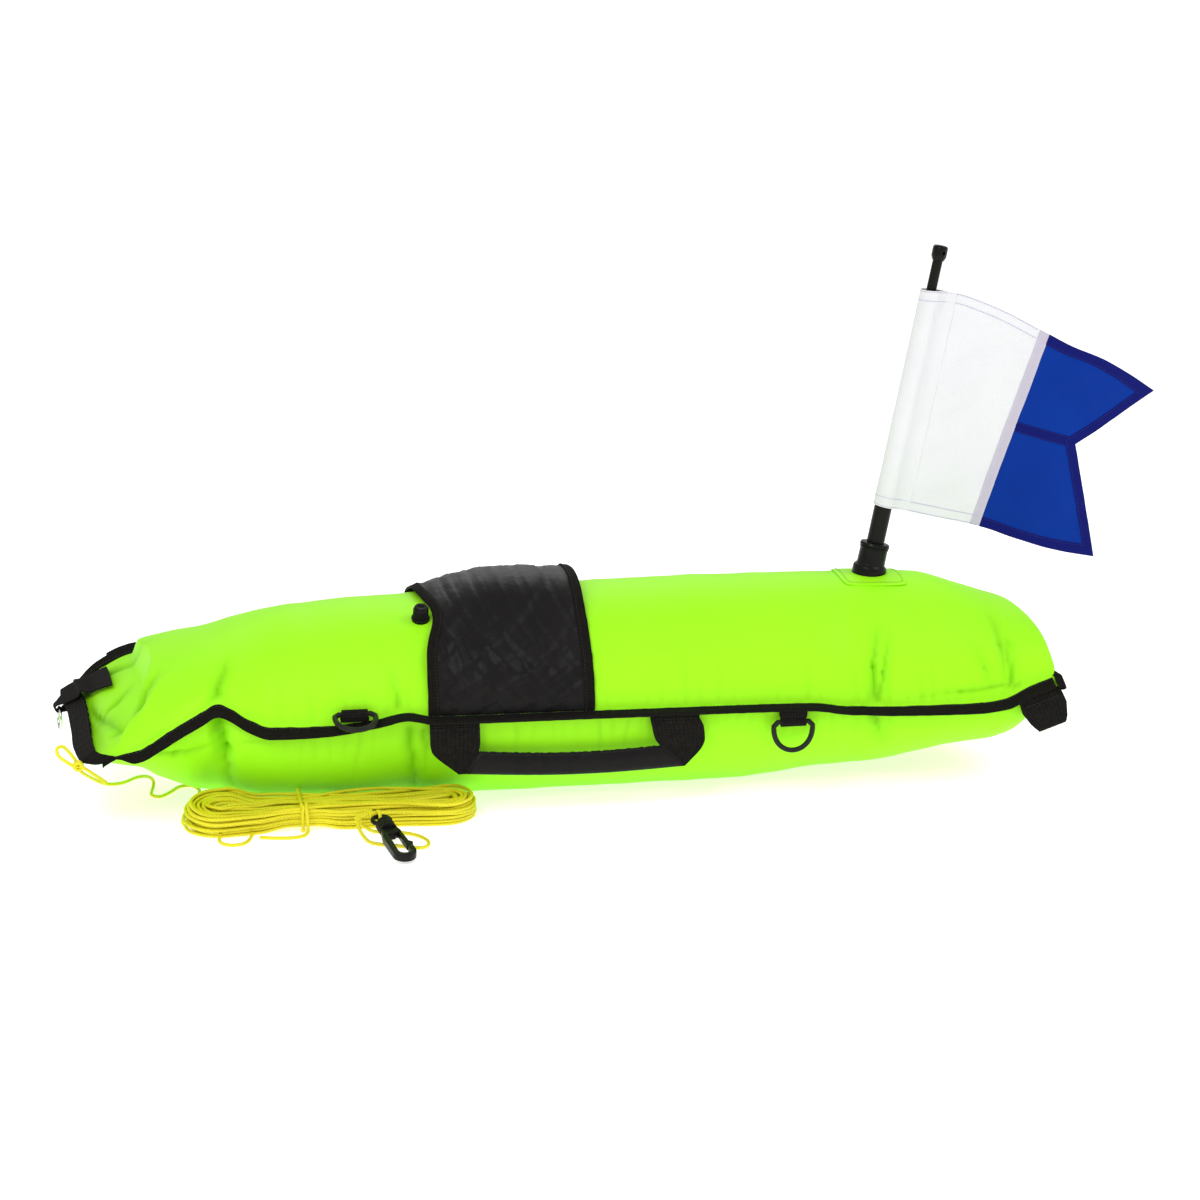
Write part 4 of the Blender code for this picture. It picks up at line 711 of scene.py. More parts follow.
# Stitching: short tight stitches of bonded black thread, sunk a little into the cloth. Each stitch is one
# bead, and all the stitches of a seam make one mesh. Both faces of the binding show them.
bpy.ops.mesh.primitive_uv_sphere_add(segments=6, ring_count=5, radius=0.5)
bead = bpy.context.object
bead_places = np.array([v.co for v in bead.data.vertices])
bead_faces = [tuple(p.vertices) for p in bead.data.polygons]
bpy.data.objects.remove(bead, do_unlink=True)


def evenly(path, step):
    """Points at even steps along a path, and the share of the path where each lies."""
    path = np.asarray(path, float)
    run = run_along(path)
    at = (np.arange(max(2, int(run[-1] / step))) + 0.5) * step
    at = at[at < run[-1]]
    return read_at(at, run, path), at / run[-1]


def stitched(name, runs, pitch, gauge, zigzag=0.0):
    """One mesh of beads along every run, each run a path with the way out of the cloth along it."""
    places, faces, count = [], [], 0
    for path, outward in runs:
        path, outward = np.asarray(path, float), np.broadcast_to(outward, np.shape(path))
        spots, shares = evenly(path, pitch)
        if len(spots) < 2:
            continue
        ahead = unit(np.gradient(spots, axis=0))
        old = np.linspace(0, 1, len(path))
        up = unit(read_at(shares, old, outward))
        aside = unit(np.cross(up, ahead))
        sway = np.where(np.arange(len(spots)) % 2, 1, -1)[:, None] * zigzag
        lie = unit(ahead * pitch + aside * (2 * sway))
        over = unit(np.cross(up, lie))
        length = math.hypot(pitch, 2 * zigzag) * (0.95 if zigzag else 0.74)
        shape = bead_places * np.array([length, gauge, gauge])
        made = (
            spots[:, None] + shape[None, :, :1] * lie[:, None] + shape[None, :, 1:2] * over[:, None]
            + shape[None, :, 2:] * up[:, None]
        )
        places.append(made.reshape(-1, 3))
        for _ in range(len(spots)):
            faces += [tuple(k + count for k in face) for face in bead_faces]
            count += len(bead_places)
    mesh = bpy.data.meshes.new(name)
    mesh.from_pydata(np.concatenate(places).tolist(), [], faces)
    piece = bpy.data.objects.new(name, mesh)
    bpy.context.scene.collection.objects.link(piece)
    return smooth(piece, 60)


def worn(colour, low, high=1.3):
    """A darker and a lighter shade of a colour."""
    return [c * low for c in colour], [min(1, c * high) for c in colour]


def thread(name, colour):
    """Bonded thread, mottled by its twist."""
    made, tree, shader = finish_of(name, colour, 0.55)
    twist = noise(tree, add(tree, "ShaderNodeTexCoord").outputs["Object"], 900.0, 2.0)
    feed(
        tree, shader, Base_Color=mixed(tree, twist, *worn(colour, 0.6)),
        Normal=raised(tree, twist, 0.0001, 0.5),
    )
    return made


black_thread = thread("black_thread", (0.016, 0.015, 0.014))
tape_rows = []
binding_stitch_place = 0.0042
for seam, out, up in (near_side, far_side):
    for face in (1, -1):
        path = seam + out * binding_stitch_place + up * face * (binding_half + binding_wall)
        tape_rows.append((path, up * face))
fit(stitched("binding_stitches", tape_rows, 0.0036, 0.00062), "float", "black_tape", black_thread)

# Nose band: broad webbing folded over the whole nose flange. A shorter piece is folded over the weld beside
# its far corner, as a tab.
black_webbing = ribbed(
    "black_webbing", (0.008, 0.0075, 0.007), 520, 0.0003, (0.0035, 0.0033, 0.003), (0.022, 0.020, 0.017),
)
nose_run = with_corners(end_frames(t_cols, nose_out, 0), 0.0)
nose_reach = flange_reach(np.concatenate([[0, 0, 0], t_cols, [1, 1, 1]]))
fit(
    tape("nose_band_folded", nose_run, nose_reach, 0.0014, half=0.0024, seed=4.0, shut=True),
    "float", "black_webbing", black_webbing, "nose_band",
)
tab_rows = np.concatenate([[False, False], (f_rows > 0.027) & (f_rows < 0.066)])
tab_frames = [part[tab_rows] for part in far_side]
fit(
    tape("far_nose_tab_folded", tab_frames, side_flange + 0.001, 0.0016, half=0.0031, seed=5.0),
    "float", "black_webbing", black_webbing, "far_nose_tab",
)

# Sleeve: a loose nylon panel sewn down at both welds and hemmed at both ends, so that a line can be tucked
# under it. It is notched for the valve.
sleeve_nose_x, sleeve_tail_x, sleeve_edge, sleeve_notch = -0.142, 0.018, 0.0008, 0.0125
valve_across = 0.345
sleeve_slack = smooth_through(
    (0.0, 0.0022), (0.12, 0.0070), (0.35, 0.0150), (0.55, 0.0175), (0.8, 0.0150), (1.0, 0.0125),
)
sleeve_t = np.linspace(sleeve_edge, 1 - sleeve_edge, 121)
sleeve_creases = (
    (1.5, -62, 140, 0.7, 9, 142, 20), (-1.2, -48, 140, 0.7, 7, 140, 20), (1.3, -92, 125, -0.5, 8, 126, 14),
    (1.1, -28, 150, -0.9, 8, 152, 22), (-0.9, -14, 150, -0.9, 6, 152, 22), (1.0, -110, 150, 0.3, 6, 150, 16),
)


def sleeve_skin(share, t, lift):
    """The sleeve's cloth at shares of its length, standing off the hull where it has slack."""
    start = along(sleeve_nose_x + sleeve_notch * np.exp(-(((t - valve_across) / 0.10) ** 2)))
    f = start + (along(sleeve_tail_x) - start) * share
    points = hull_skin(f, t)
    out = facing_out(points) if points.shape[0] > 2 else skin_out(f, t, 0.002)
    loose = sleeve_slack(np.clip(share, 0, 1)) * np.exp(-(((t - 0.53) / 0.19) ** 4))
    side = np.exp(-(((t - 0.20) / 0.13) ** 2)) + np.exp(-(((t - 0.82) / 0.12) ** 2))
    x, z = points[..., 0] * 1000, points[..., 2] * 1000
    crumple = 0.8 * np.exp(-(((z - 118) + 0.25 * (x + 60)) / 5) ** 2) * np.exp(-(((x + 66) / 26) ** 2))
    for high, at_x, at_z, lean, wide, middle_z, tall in sleeve_creases:
        ridge = np.exp(-(((x - at_x) + lean * (z - at_z)) / wide) ** 2)
        crumple = crumple + high * ridge * np.exp(-(((z - middle_z) / tall) ** 2))
    ease = np.clip(np.minimum(t - sleeve_edge, 1 - sleeve_edge - t) / 0.04, 0, 1)
    wrinkle = 0.0015 * side * (1 + drift(x + 0.35 * z, 47.0, 0.7))
    wrinkle = wrinkle + 0.0034 * np.maximum(crumple, -0.8) * side
    for depth, way, length, start in ((0.0011, 0.6 * x - z, 23.0, 2.1), (0.0006, x + 0.8 * z, 15.0, 1.2)):
        wrinkle = wrinkle + depth * (1 + drift(way, length, start))
    height = lift + 0.0012 + loose + np.maximum(0, wrinkle) * ease
    return points + out * height[..., None]


def ranged(tree, share, low, high):
    """A value between two others."""
    return add(tree, "ShaderNodeMapRange", {"Value": share, "To Min": low, "To Max": high}).outputs[0]


share, t = np.meshgrid(np.linspace(0, 1, 91), sleeve_t, indexing="ij")
sleeve = loft("sleeve", sleeve_skin(share, t, 0.0), 0.0006, 1.0, angle=60)
black_nylon, tree, shader = finish_of(
    "black_nylon_cloth", (0.018, 0.0165, 0.0165), 0.40, Specular_IOR_Level=0.12,
)
where = add(tree, "ShaderNodeTexCoord").outputs
threads = woven(tree, where["UV"], 1300)
wrinkle_relief_and_sheen = noise(tree, where["Object"], 26.0, 4.0)
# Painted sheen: the colour is lighter where the wrinkle noise stands high, as a sheen on the wrinkles'
# crests, and it also varies at random.
tone = maths(tree, "MULTIPLY_ADD", wrinkle_relief_and_sheen, 0.6, maths(tree, "MULTIPLY", threads, 0.35), clamp=True)
relief = raised(tree, threads, 0.0001, 0.7, Normal=raised(tree, wrinkle_relief_and_sheen, 0.0040, 0.7))
feed(
    tree, shader, Base_Color=mixed(tree, tone, (0.0035, 0.003, 0.003), (0.012, 0.0105, 0.0102)),
    Roughness=ranged(tree, wrinkle_relief_and_sheen, 0.30, 0.50), Normal=relief,
)
fit(sleeve, "float", "black_nylon", black_nylon, "sleeve_panel")
hem_width, hem_stitch_place, hem_stitch_lift = 0.010, 0.8, 0.0016
hem_profile = (
    (1, 0.0006), (0.85, 0.0012), (0.4, 0.0013), (0.06, 0.0012), (-0.05, 0.0003), (0.06, -0.0006),
    (0.7, -0.0006),
)


def hem_row(start, inward, across, lift):
    """A row of points along a hem, at a share of its width in from the sleeve's end."""
    share = start + inward * across * hem_width / (sleeve_tail_x - sleeve_nose_x)
    return sleeve_skin(np.full((1, len(sleeve_t)), share), sleeve_t[None], lift)[0]


hem_lines = []
for name, node, start, inward in (
    ("sleeve_hem_front", "sleeve_hem_nose", 0, 1), ("sleeve_hem_rear", "sleeve_hem_tail", 1, -1),
):
    columns = [hem_row(start, inward, across, lift) for across, lift in hem_profile]
    fit(loft(name, np.stack(columns, 1), 0.0004, 0.0, angle=60), "float", "black_tape", black_tape, node)
    path = hem_row(start, inward, hem_stitch_place, hem_stitch_lift)
    hem_lines.append((path, unit(path - hem_row(start, inward, hem_stitch_place, 0.0))))
fit(stitched("sleeve_stitches", hem_lines, 0.0034, 0.0005), "float", "black_tape", black_thread)


# Inflation valve: a black moulded stem on a round seat, fixed to the hull beside the sleeve. Its ribbed
# mouthpiece twists to close it.
def round_edges(piece, width, segments, angle):
    """Rounds the edges of the active piece that are sharper than an angle."""
    bevel = piece.modifiers.new("round_edge", "BEVEL")
    bevel.width, bevel.segments = width, segments
    bevel.limit_method, bevel.angle_limit = "ANGLE", math.radians(angle)
    bpy.ops.object.modifier_apply(modifier=bevel.name)
    return piece


def turned(name, profile, steps=48, round_edge=0.0):
    """A round piece: a disc drawn up step by step through pairs of radius and height, its edges rounded."""
    (radius, height), rest = profile[0], profile[1:]
    bpy.ops.mesh.primitive_circle_add(vertices=steps, radius=radius, fill_type="NGON", location=(0, 0, 0))
    piece = bpy.context.object
    piece.name = piece.data.name = name
    bpy.ops.object.mode_set(mode="EDIT")
    bpy.ops.mesh.select_all(action="SELECT")
    bpy.ops.transform.translate(value=(0, 0, height))
    for wide, high in rest:
        bpy.ops.mesh.extrude_region_move(TRANSFORM_OT_translate={"value": (0, 0, high - height)})
        bpy.ops.transform.resize(value=(wide / radius, wide / radius, 1), center_override=(0, 0, high))
        radius, height = wide, high
    bpy.ops.mesh.select_all(action="SELECT")
    bpy.ops.mesh.normals_make_consistent(inside=False)
    bpy.ops.object.mode_set(mode="OBJECT")
    return round_edges(piece, round_edge, 3, 28) if round_edge else piece


def stand(piece, place, angle=40):
    """Moves a piece's own mesh to its place and leaves its object at the origin."""
    piece.data.transform(place)
    return smooth(face_outwards(piece), angle)


def moulded(name, colour, roughness, speckle, shine):
    """Moulded plastic: a fine speckle in its gloss, rubbed lighter here and there."""
    made, tree, shader = finish_of(name, colour, roughness, Specular_IOR_Level=shine)
    where = add(tree, "ShaderNodeTexCoord").outputs["Object"]
    fine, rub = noise(tree, where, 420.0, 3.0), noise(tree, where, 70.0, 4.0)
    feed(
        tree, shader, Base_Color=mixed(tree, rub, *worn(colour, 0.75)),
        Roughness=ranged(tree, rub, roughness * 0.75, roughness * 1.3),
        Normal=raised(tree, fine, speckle, 0.5),
    )
    return made


black_plastic = moulded("black_moulded_plastic", (0.008, 0.0078, 0.007), 0.24, 0.00010, 0.10)
ring_plastic = moulded("black_ring_plastic", (0.013, 0.014, 0.010), 0.40, 0.00015, 0.16)
valve_point = Vector((-0.141487, -0.055370, 0.181511))
valve_up = Vector((0.012747, -0.367745, 0.929839)).normalized()
valve_turn = valve_up.to_track_quat("Z", "Y").to_matrix().to_4x4()
valve_place = Matrix.Translation(valve_point + valve_up * 0.001) @ valve_turn
valve_seat = turned("valve_seat", (
    (0.0088, -0.002), (0.0090, 0.0008), (0.0084, 0.0019), (0.0064, 0.0021), (0.0062, 0.0030),
), 40, 0.0003)
fit(stand(valve_seat, valve_place), "float", "black_plastic", black_plastic, "valve_base")
mouth_steps = [(0.0074, 0.0024), (0.0076, 0.0034)]
for k in range(4):
    low = 0.0036 + 0.0016 * k
    groove = ((0.0076, 0.0008), (0.0070, 0.0010), (0.0070, 0.0014), (0.0076, 0.0016))
    mouth_steps += [(wide, low + rise) for wide, rise in groove]
mouth_steps += [(0.0074, 0.0108), (0.0064, 0.0128), (0.0060, 0.0133), (0.0030, 0.0133), (0.0024, 0.0122)]
mouth = turned("valve_mouth", mouth_steps, 40, 0.0002)
fit(stand(mouth, valve_place), "valve_cap", "black_plastic", black_plastic, "valve_mouthpiece")

# Mast: a socket of black rubber on a square patch that is welded to the hull. A fibreglass tube stands in
# it, with a collar at the socket's mouth, a thinner rod that slides in the tube, and a drilled knob.
mast_lean = math.radians(11.4)
mast_foot = Vector((0.32, 0, 0.194127))
mast_place = Matrix.Translation(mast_foot) @ Matrix.Rotation(mast_lean, 4, "Y")
patch_half = (0.034, 0.036)
mast_f = along(0.320)


def patch_skin(a, b, lift):
    """The hull's skin round the mast, from places along and across the patch in metres."""
    f, t = mast_f + a / hull_length, 0.5 + b / (math.pi * hull_half_width)
    return hull_skin(f, t) + skin_out(f, t, 0.003) * np.asarray(lift)[..., None]


spread = np.linspace(-1, 1, 41)
a, b = np.meshgrid(spread, spread, indexing="ij")
corner = 1 - 0.10 * (np.abs(a) * np.abs(b)) ** 3
edge_fall = np.clip((1 - np.maximum(np.abs(a), np.abs(b))) / 0.06, 0, 1)
patch_grid = patch_skin(a * patch_half[0] * corner, b * patch_half[1] * corner, 0.0010 + 0.0004 * edge_fall)
patch = loft("mast_patch_welded", patch_grid, 0.0006, 1.0, angle=60)
fit(patch, "float", "coated_fabric", hull_fabric, "mast_patch")
patch_turns = 2 * math.pi * np.arange(81) / 80
edge_a, edge_b = np.cos(patch_turns), np.sin(patch_turns)
reach = (np.abs(edge_a) ** 9 + np.abs(edge_b) ** 9) ** (-1 / 9) * 0.86
edge_a, edge_b = edge_a * reach * patch_half[0], edge_b * reach * patch_half[1]
patch_line, patch_under = (patch_skin(edge_a, edge_b, np.full(81, lift)) for lift in (0.0021, 0.0))
green_thread = thread("dull_green_thread", (0.10, 0.22, 0.02))
patch_runs = [(patch_line, unit(patch_line - patch_under))]
patch_stitches = stitched("mast_patch_stitches", patch_runs, 0.0024, 0.0005)
fit(patch_stitches, "float", "coated_fabric", green_thread)
carbon = moulded("black_fibreglass", (0.008, 0.0078, 0.006), 0.30, 0.0002, 0.10)
for name, profile, sides, edge, body, slot, finish, node in (
    ("mast_socket", (
        (0.0172, -0.004), (0.0172, 0.0068), (0.0166, 0.0086), (0.0150, 0.0100), (0.0142, 0.0112),
        (0.0141, 0.0262), (0.0146, 0.0268), (0.0146, 0.0284), (0.0118, 0.0284),
    ), 64, 0.0006, "float", "black_plastic", black_plastic, "mast_base"),
    ("mast_collar_ring", (
        (0.0120, 0.0286), (0.0150, 0.0290), (0.0152, 0.0302), (0.0143, 0.0326), (0.0102, 0.0330),
    ), 64, 0.0003, "mast", "black_plastic", black_plastic, "mast_collar"),
    ("mast_tube_drawn", (
        (0.0088, 0.0300), (0.0090, 0.0310), (0.0090, 0.1842), (0.0082, 0.1850),
    ), 48, 0.0, "mast", "carbon_rod", carbon, "mast_tube"),
    ("mast_rod_drawn", (
        (0.0046, 0.1010), (0.0050, 0.1016), (0.0050, 0.3265),
    ), 40, 0.0, "rod", "carbon_rod", carbon, "mast_rod"),
):
    fit(stand(turned(name, profile, sides, edge), mast_place), body, slot, finish, node)
knob = turned("mast_knob", (
    (0.0060, 0.3216), (0.0066, 0.3232), (0.0076, 0.3256), (0.0078, 0.3270), (0.0078, 0.3346),
    (0.0070, 0.3368), (0.0040, 0.3372),
), 8, 0.0011)
hole = turned("knob_hole", ((0.0019, -0.02), (0.0019, 0.02)), 20, 0.0)
hole.data.transform(Matrix.Translation((0, 0, 0.3302)) @ Matrix.Rotation(math.pi / 2, 4, "X"))
cut = knob.modifiers.new("drilled", "BOOLEAN")
cut.object, cut.operation, cut.solver = hole, "DIFFERENCE", "EXACT"
alone(knob)
bpy.ops.object.modifier_apply(modifier=cut.name)
bpy.data.objects.remove(hole, do_unlink=True)
knob.data.transform(Matrix.Rotation(math.radians(22.5), 4, "Z"))
fit(stand(knob, mast_place, 30), "rod", "black_plastic", black_plastic, "mast_cap")

# Flag: a white panel sewn to two blue ones, in woven nylon. The white wraps round the mast as a pole sleeve,
# and the blue has a doubled hem. It waves a little. Its places are millimetres out from the mast and up it.
flag_low, flag_stitch_x, seam_tape = 72.0, 22.0, 10.0
flag_tips = {"high": (255.6, 232.3), "notch": (181.5, 166.1), "low": (230.3, 55.1)}
seam_low, seam_high, seam_middle = (104.7, 65.9), (129.3, 270.3), 172.7
top_edge = smooth_through(
    (-12, 291), (12, 293.5), (29, 294), (54, 290.5), (79.5, 285.2), (129.3, 270.3), (155, 262.8), (189, 256),
    (222, 245.5), (255.6, 232.3),
)
bottom_edge = smooth_through(
    (-12, 71.5), (20, 69.8), (82, 66.6), (104.7, 65.9), (143, 60.7), (184, 56.6), (230.3, 55.1),
)


def on_mast(x, y, z):
    """Places in the scene, from millimetres out from the mast, aside from it and up it."""
    x, y, z = np.broadcast_arrays(*(np.asarray(part, float) / 1000 for part in (x, y, z)))
    return (np.stack([x, y, z, np.ones_like(x)], -1) @ np.array(mast_place).T)[..., :3]


def flag_skin(x, z, lift=0.0):
    """Points of the flag's cloth, from places in its own flat plane."""
    x, z = np.broadcast_arrays(np.asarray(x, float), np.asarray(z, float))
    reach = np.maximum(0, x - flag_stitch_x)
    span = flag_tips["high"][0] - flag_stitch_x
    wave = np.sin(2.2 * np.pi * reach / span + 0.003 * (z - flag_low))
    wave = wave * np.minimum(1, reach / (0.35 * span)) * 7
    crinkle = 0.9 * drift(x + 0.5 * z, 83.0, 0.4) + 0.5 * drift(x * 0.7 - z, 47.0, 1.9)
    return on_mast(x, wave + crinkle * np.minimum(1, reach / 30) + lift, z)


def cloth_of(name, colour, dark, roughness=0.72, shine=0.2):
    """Woven nylon flag cloth, a little darker in cloudy patches, and creased."""
    made, tree, shader = finish_of(name, colour, roughness, Specular_IOR_Level=shine)
    where = add(tree, "ShaderNodeTexCoord").outputs
    threads = woven(tree, where["UV"], 900)
    dark_patches = maths(tree, "MULTIPLY", noise(tree, where["Object"], 16.0, 5.0), 0.55)
    tone = maths(tree, "MULTIPLY_ADD", threads, 0.35, dark_patches, clamp=True)
    crease = raised(tree, noise(tree, where["Object"], 34.0, 3.0), 0.0012, 0.35)
    relief = raised(tree, threads, 0.0001, 0.6, Normal=crease)
    feed(tree, shader, Base_Color=mixed(tree, tone, dark, colour), Normal=relief)
    return made


white_cloth = cloth_of("white_flag_cloth", (0.80, 0.797, 0.81), (0.65, 0.65, 0.68))
seam_cloth = cloth_of("seam_flag_cloth", (0.56, 0.52, 0.59), (0.44, 0.40, 0.51))
blue_cloth = cloth_of("blue_flag_cloth", (0.002, 0.038, 0.32), (0.001, 0.021, 0.21), 0.6, 0.06)
navy_cloth = cloth_of("navy_flag_cloth", (0.006, 0.010, 0.155), (0.004, 0.006, 0.10), 0.65, 0.06)


def seam_x(z, shift=0.0):
    """How far out from the mast the seam between white and blue lies at a height."""
    share = (z - seam_low[1]) / (seam_high[1] - seam_low[1])
    return seam_low[0] + (seam_high[0] - seam_low[0]) * share + shift


def between_edges(s, x):
    """Heights at a share of the way from the flag's bottom edge to its top edge."""
    low, high = bottom_edge(x), top_edge(x)
    return low + (high - low) * s


def arc(across, up, reach, start, stop, count):
    """Points round a middle, from one angle to another in degrees."""
    turns = np.radians(np.linspace(start, stop, count))
    return [(across + reach * math.cos(turn), up + reach * math.sin(turn)) for turn in turns]


up_share = np.linspace(0, 1, 61)
s, w = np.meshgrid(up_share, np.linspace(0, 1, 41), indexing="ij")
white_start = flag_stitch_x - 2
white_x = white_start + (seam_x(between_edges(s, 100.0), 1 - seam_tape) - white_start) * w
white = loft("flag_white", flag_skin(white_x, between_edges(s, white_x)), 0.0005, 0.0, angle=60)
fit(white, "flag", "white_cloth", white_cloth, "flag_white_panel")
loop_side = [(flag_stitch_x + 5, 0.5), (white_start, 0.45), (15.0, 2.6)]
loop = loop_side + arc(0, 0, 10.3, 38, 322, 41) + [(x, -y) for x, y in loop_side[::-1]]
loop_x, loop_y = np.array(loop).T
pole_rows = []
for share in up_share:
    z = between_edges(np.full(len(loop_x), share), loop_x)
    ripple = 0.25 * drift(z + loop_x, 36.0, 0.9)
    pole_rows.append(on_mast(loop_x, loop_y + ripple * np.sign(loop_y), z))
pole = loft("flag_pole_tube", np.stack(pole_rows), 0.0005, 0.0, angle=60)
fit(pole, "flag", "white_cloth", white_cloth, "flag_pole_sleeve")
strip_x = seam_x(between_edges(s, 118.0), -seam_tape) + seam_tape * w
strip = loft("flag_seam_strip", flag_skin(strip_x, between_edges(s, strip_x), -0.1), 0.0011, 0.0, angle=60)
fit(strip, "flag", "seam_cloth", seam_cloth, "flag_seam_tape")


def blue_cell(s, w, upper):
    """A blue panel's places: from the seam to the swallowtail, and from its low edge to its high edge."""
    notch, tip = np.array(flag_tips["notch"]), np.array(flag_tips["high" if upper else "low"])
    middle_z = seam_middle + (0.4 if upper else -0.4)
    middle_end = notch + ((1.0, 1.5) if upper else (-0.5, -1.5))
    edge_end = tip + ((-3.0, -1.0) if upper else (-1.6, 1.2))
    middle_x, edge_x = seam_x(middle_z), seam_x(seam_high[1] - 0.8 if upper else seam_low[1] + 0.8)
    middle_x, middle_z = middle_x + (middle_end[0] - middle_x) * w, middle_z + (middle_end[1] - middle_z) * w
    edge_x = edge_x + (edge_end[0] - edge_x) * w
    edge_z = top_edge(edge_x) - 0.8 if upper else bottom_edge(edge_x) + 0.8
    low_x, low_z, high_x, high_z = (
        (middle_x, middle_z, edge_x, edge_z) if upper else (edge_x, edge_z, middle_x, middle_z)
    )
    return low_x + (high_x - low_x) * s, low_z + (high_z - low_z) * s


for name, node, upper in (
    ("flag_blue_high", "flag_blue_upper", True), ("flag_blue_low", "flag_blue_lower", False),
):
    x, z = blue_cell(s, w, upper)
    panel = loft(name, flag_skin(x, z), 0.0005, 0.0, angle=60)
    fit(panel, "flag", "blue_cloth", blue_cloth, node)


def inset_path(path, width):
    """The path moved in by a width, square to each of its straight parts and mitred at its corners."""
    path = [Vector(p) for p in path]
    moved = []
    for i, point in enumerate(path):
        before = (point - path[i - 1]).normalized() if i else (path[1] - point).normalized()
        after = (path[i + 1] - point).normalized() if i + 1 < len(path) else before
        side = Vector((before.y, -before.x)) + Vector((after.y, -after.x))
        side.normalize()
        moved.append(tuple(point + side * width / max(0.3, side.dot(Vector((before.y, -before.x))))))
    return moved


seam_top, seam_foot = (seam_high[0] + 0.2, seam_high[1]), (seam_low[0] + 0.2, seam_low[1])
border_path = [seam_top, flag_tips["high"], flag_tips["notch"], flag_tips["low"], seam_foot]
border_inner = inset_path(border_path, seam_tape)
border_inner[0] = (seam_x(259.6), 259.8)
border_inner[-1] = (seam_x(76.0), 75.8)
border_rows = []
for i in range(4):
    for share in np.linspace(0, 1, 25)[: None if i == 3 else -1]:
        outer = np.array(border_path[i]) * (1 - share) + np.array(border_path[i + 1]) * share
        inner = np.array(border_inner[i]) * (1 - share) + np.array(border_inner[i + 1]) * share
        if i in (0, 3):
            rise = (top_edge if i == 0 else bottom_edge)(outer[0]) - outer[1]
            outer, inner = outer + (0, rise), inner + (0, rise)
        border_rows.append([outer * (1 - k) + inner * k for k in (0, 0.1, 0.5, 0.9, 1)])
border_rows = np.array(border_rows)
border_lift = np.array([0.0, -0.15, -0.2, -0.15, 0.0])[None]
border_grid = flag_skin(border_rows[..., 0], border_rows[..., 1], border_lift)
border = loft("flag_hem", border_grid, 0.0014, 0.0, angle=60)
fit(border, "flag", "navy_cloth", navy_cloth, "flag_border")
middle_start, middle_end = (seam_x(seam_middle), seam_middle), np.array(flag_tips["notch"]) + (-6.0, 1.6)
k, m = np.meshgrid(np.linspace(0, 1, 31), np.array([-1, -0.8, 0, 0.8, 1]), indexing="ij")
middle_x = middle_start[0] + (middle_end[0] - middle_start[0]) * k
middle_z = middle_start[1] + (middle_end[1] - middle_start[1]) * k + 5 * m
middle = loft("flag_middle_tape", flag_skin(middle_x, middle_z, -0.1 * (1 - m * m)), 0.0012, 0.0, angle=60)
fit(middle, "flag", "navy_cloth", navy_cloth, "flag_middle_seam")
blue_thread = thread("blue_thread", (0.035, 0.03, 0.42))
white_thread = thread("white_thread", (0.72, 0.70, 0.78))


def flag_run(x, z):
    """A line of stitches on both faces of the flag."""
    mast_side = np.array(mast_place)[:3, 1]
    x, z = np.asarray(x, float), np.asarray(z, float)
    return [(flag_skin(x, z, -0.55), -mast_side), (flag_skin(x, z, 0.55), mast_side)]


hem_x = np.linspace(flag_stitch_x - 3, 118, 60)
hem_runs = []
low_x = np.linspace(flag_stitch_x - 3, 103, 60)
for inset in (1.4, 10.2):
    hem_runs += flag_run(hem_x, top_edge(hem_x) - inset)
    hem_runs += flag_run(low_x, bottom_edge(low_x) + inset)
wrap = [(19, 1.0), (15, 3.0)] + arc(0, 0, 10.65, 38, 322, 50) + [(15, -3.0), (19, -1.0)]
wrap_x, wrap_y = np.array(wrap).T
for inset, edge in ((-1.4, top_edge), (-10.2, top_edge), (1.4, bottom_edge), (10.2, bottom_edge)):
    place = on_mast(wrap_x, wrap_y, edge(wrap_x) + inset)
    hem_runs.append((place, unit(place - on_mast(0, 0, edge(wrap_x) + inset))))
fit(stitched("flag_hem_stitches", hem_runs, 0.0026, 0.00042), "flag", "blue_cloth", blue_thread)
seam_z = np.linspace(69.5, 267, 80)
seam_runs = flag_run(seam_x(seam_z, -8.8), seam_z) + flag_run(seam_x(seam_z, -1.2), seam_z)
seam_runs += flag_run(np.full(80, flag_stitch_x + 2), np.linspace(76, 290, 80))
fit(stitched("flag_seam_stitches", seam_runs, 0.0030, 0.00045), "flag", "white_cloth", white_thread)
navy_thread = thread("navy_thread", (0.012, 0.010, 0.16))
border_flat = border_rows[:, 3] * 0.9 + border_rows[:, 2] * 0.1
navy_runs = flag_run(border_flat[:, 0], border_flat[:, 1])
middle_x, middle_z = (np.linspace(a, b, 30) for a, b in zip(middle_start, middle_end))
for aside in (4, -4):
    navy_runs += flag_run(middle_x, middle_z + aside)
navy_runs = [(path + unit(np.broadcast_to(up, path.shape)) * 0.0004, up) for path, up in navy_runs]
fit(stitched("flag_blue_stitches", navy_runs, 0.0030, 0.00045), "flag", "navy_cloth", navy_thread)


# Carrying handle: two legs of broad nylon webbing, sewn on at the near weld. They fold at a slant into a
# stitched nylon cover round the grip.
handle_y, handle_top, handle_slope = -0.12475, 0.0934, -0.0156


def handle_place(x, y, rise):
    """Points of the handle, from distances along it, in from its middle plane and up from its top edge."""
    x, y, rise = np.broadcast_arrays(*(np.asarray(part, float) for part in (x, y, rise)))
    return np.stack([x, handle_y + y, handle_top + handle_slope * x + rise], -1)


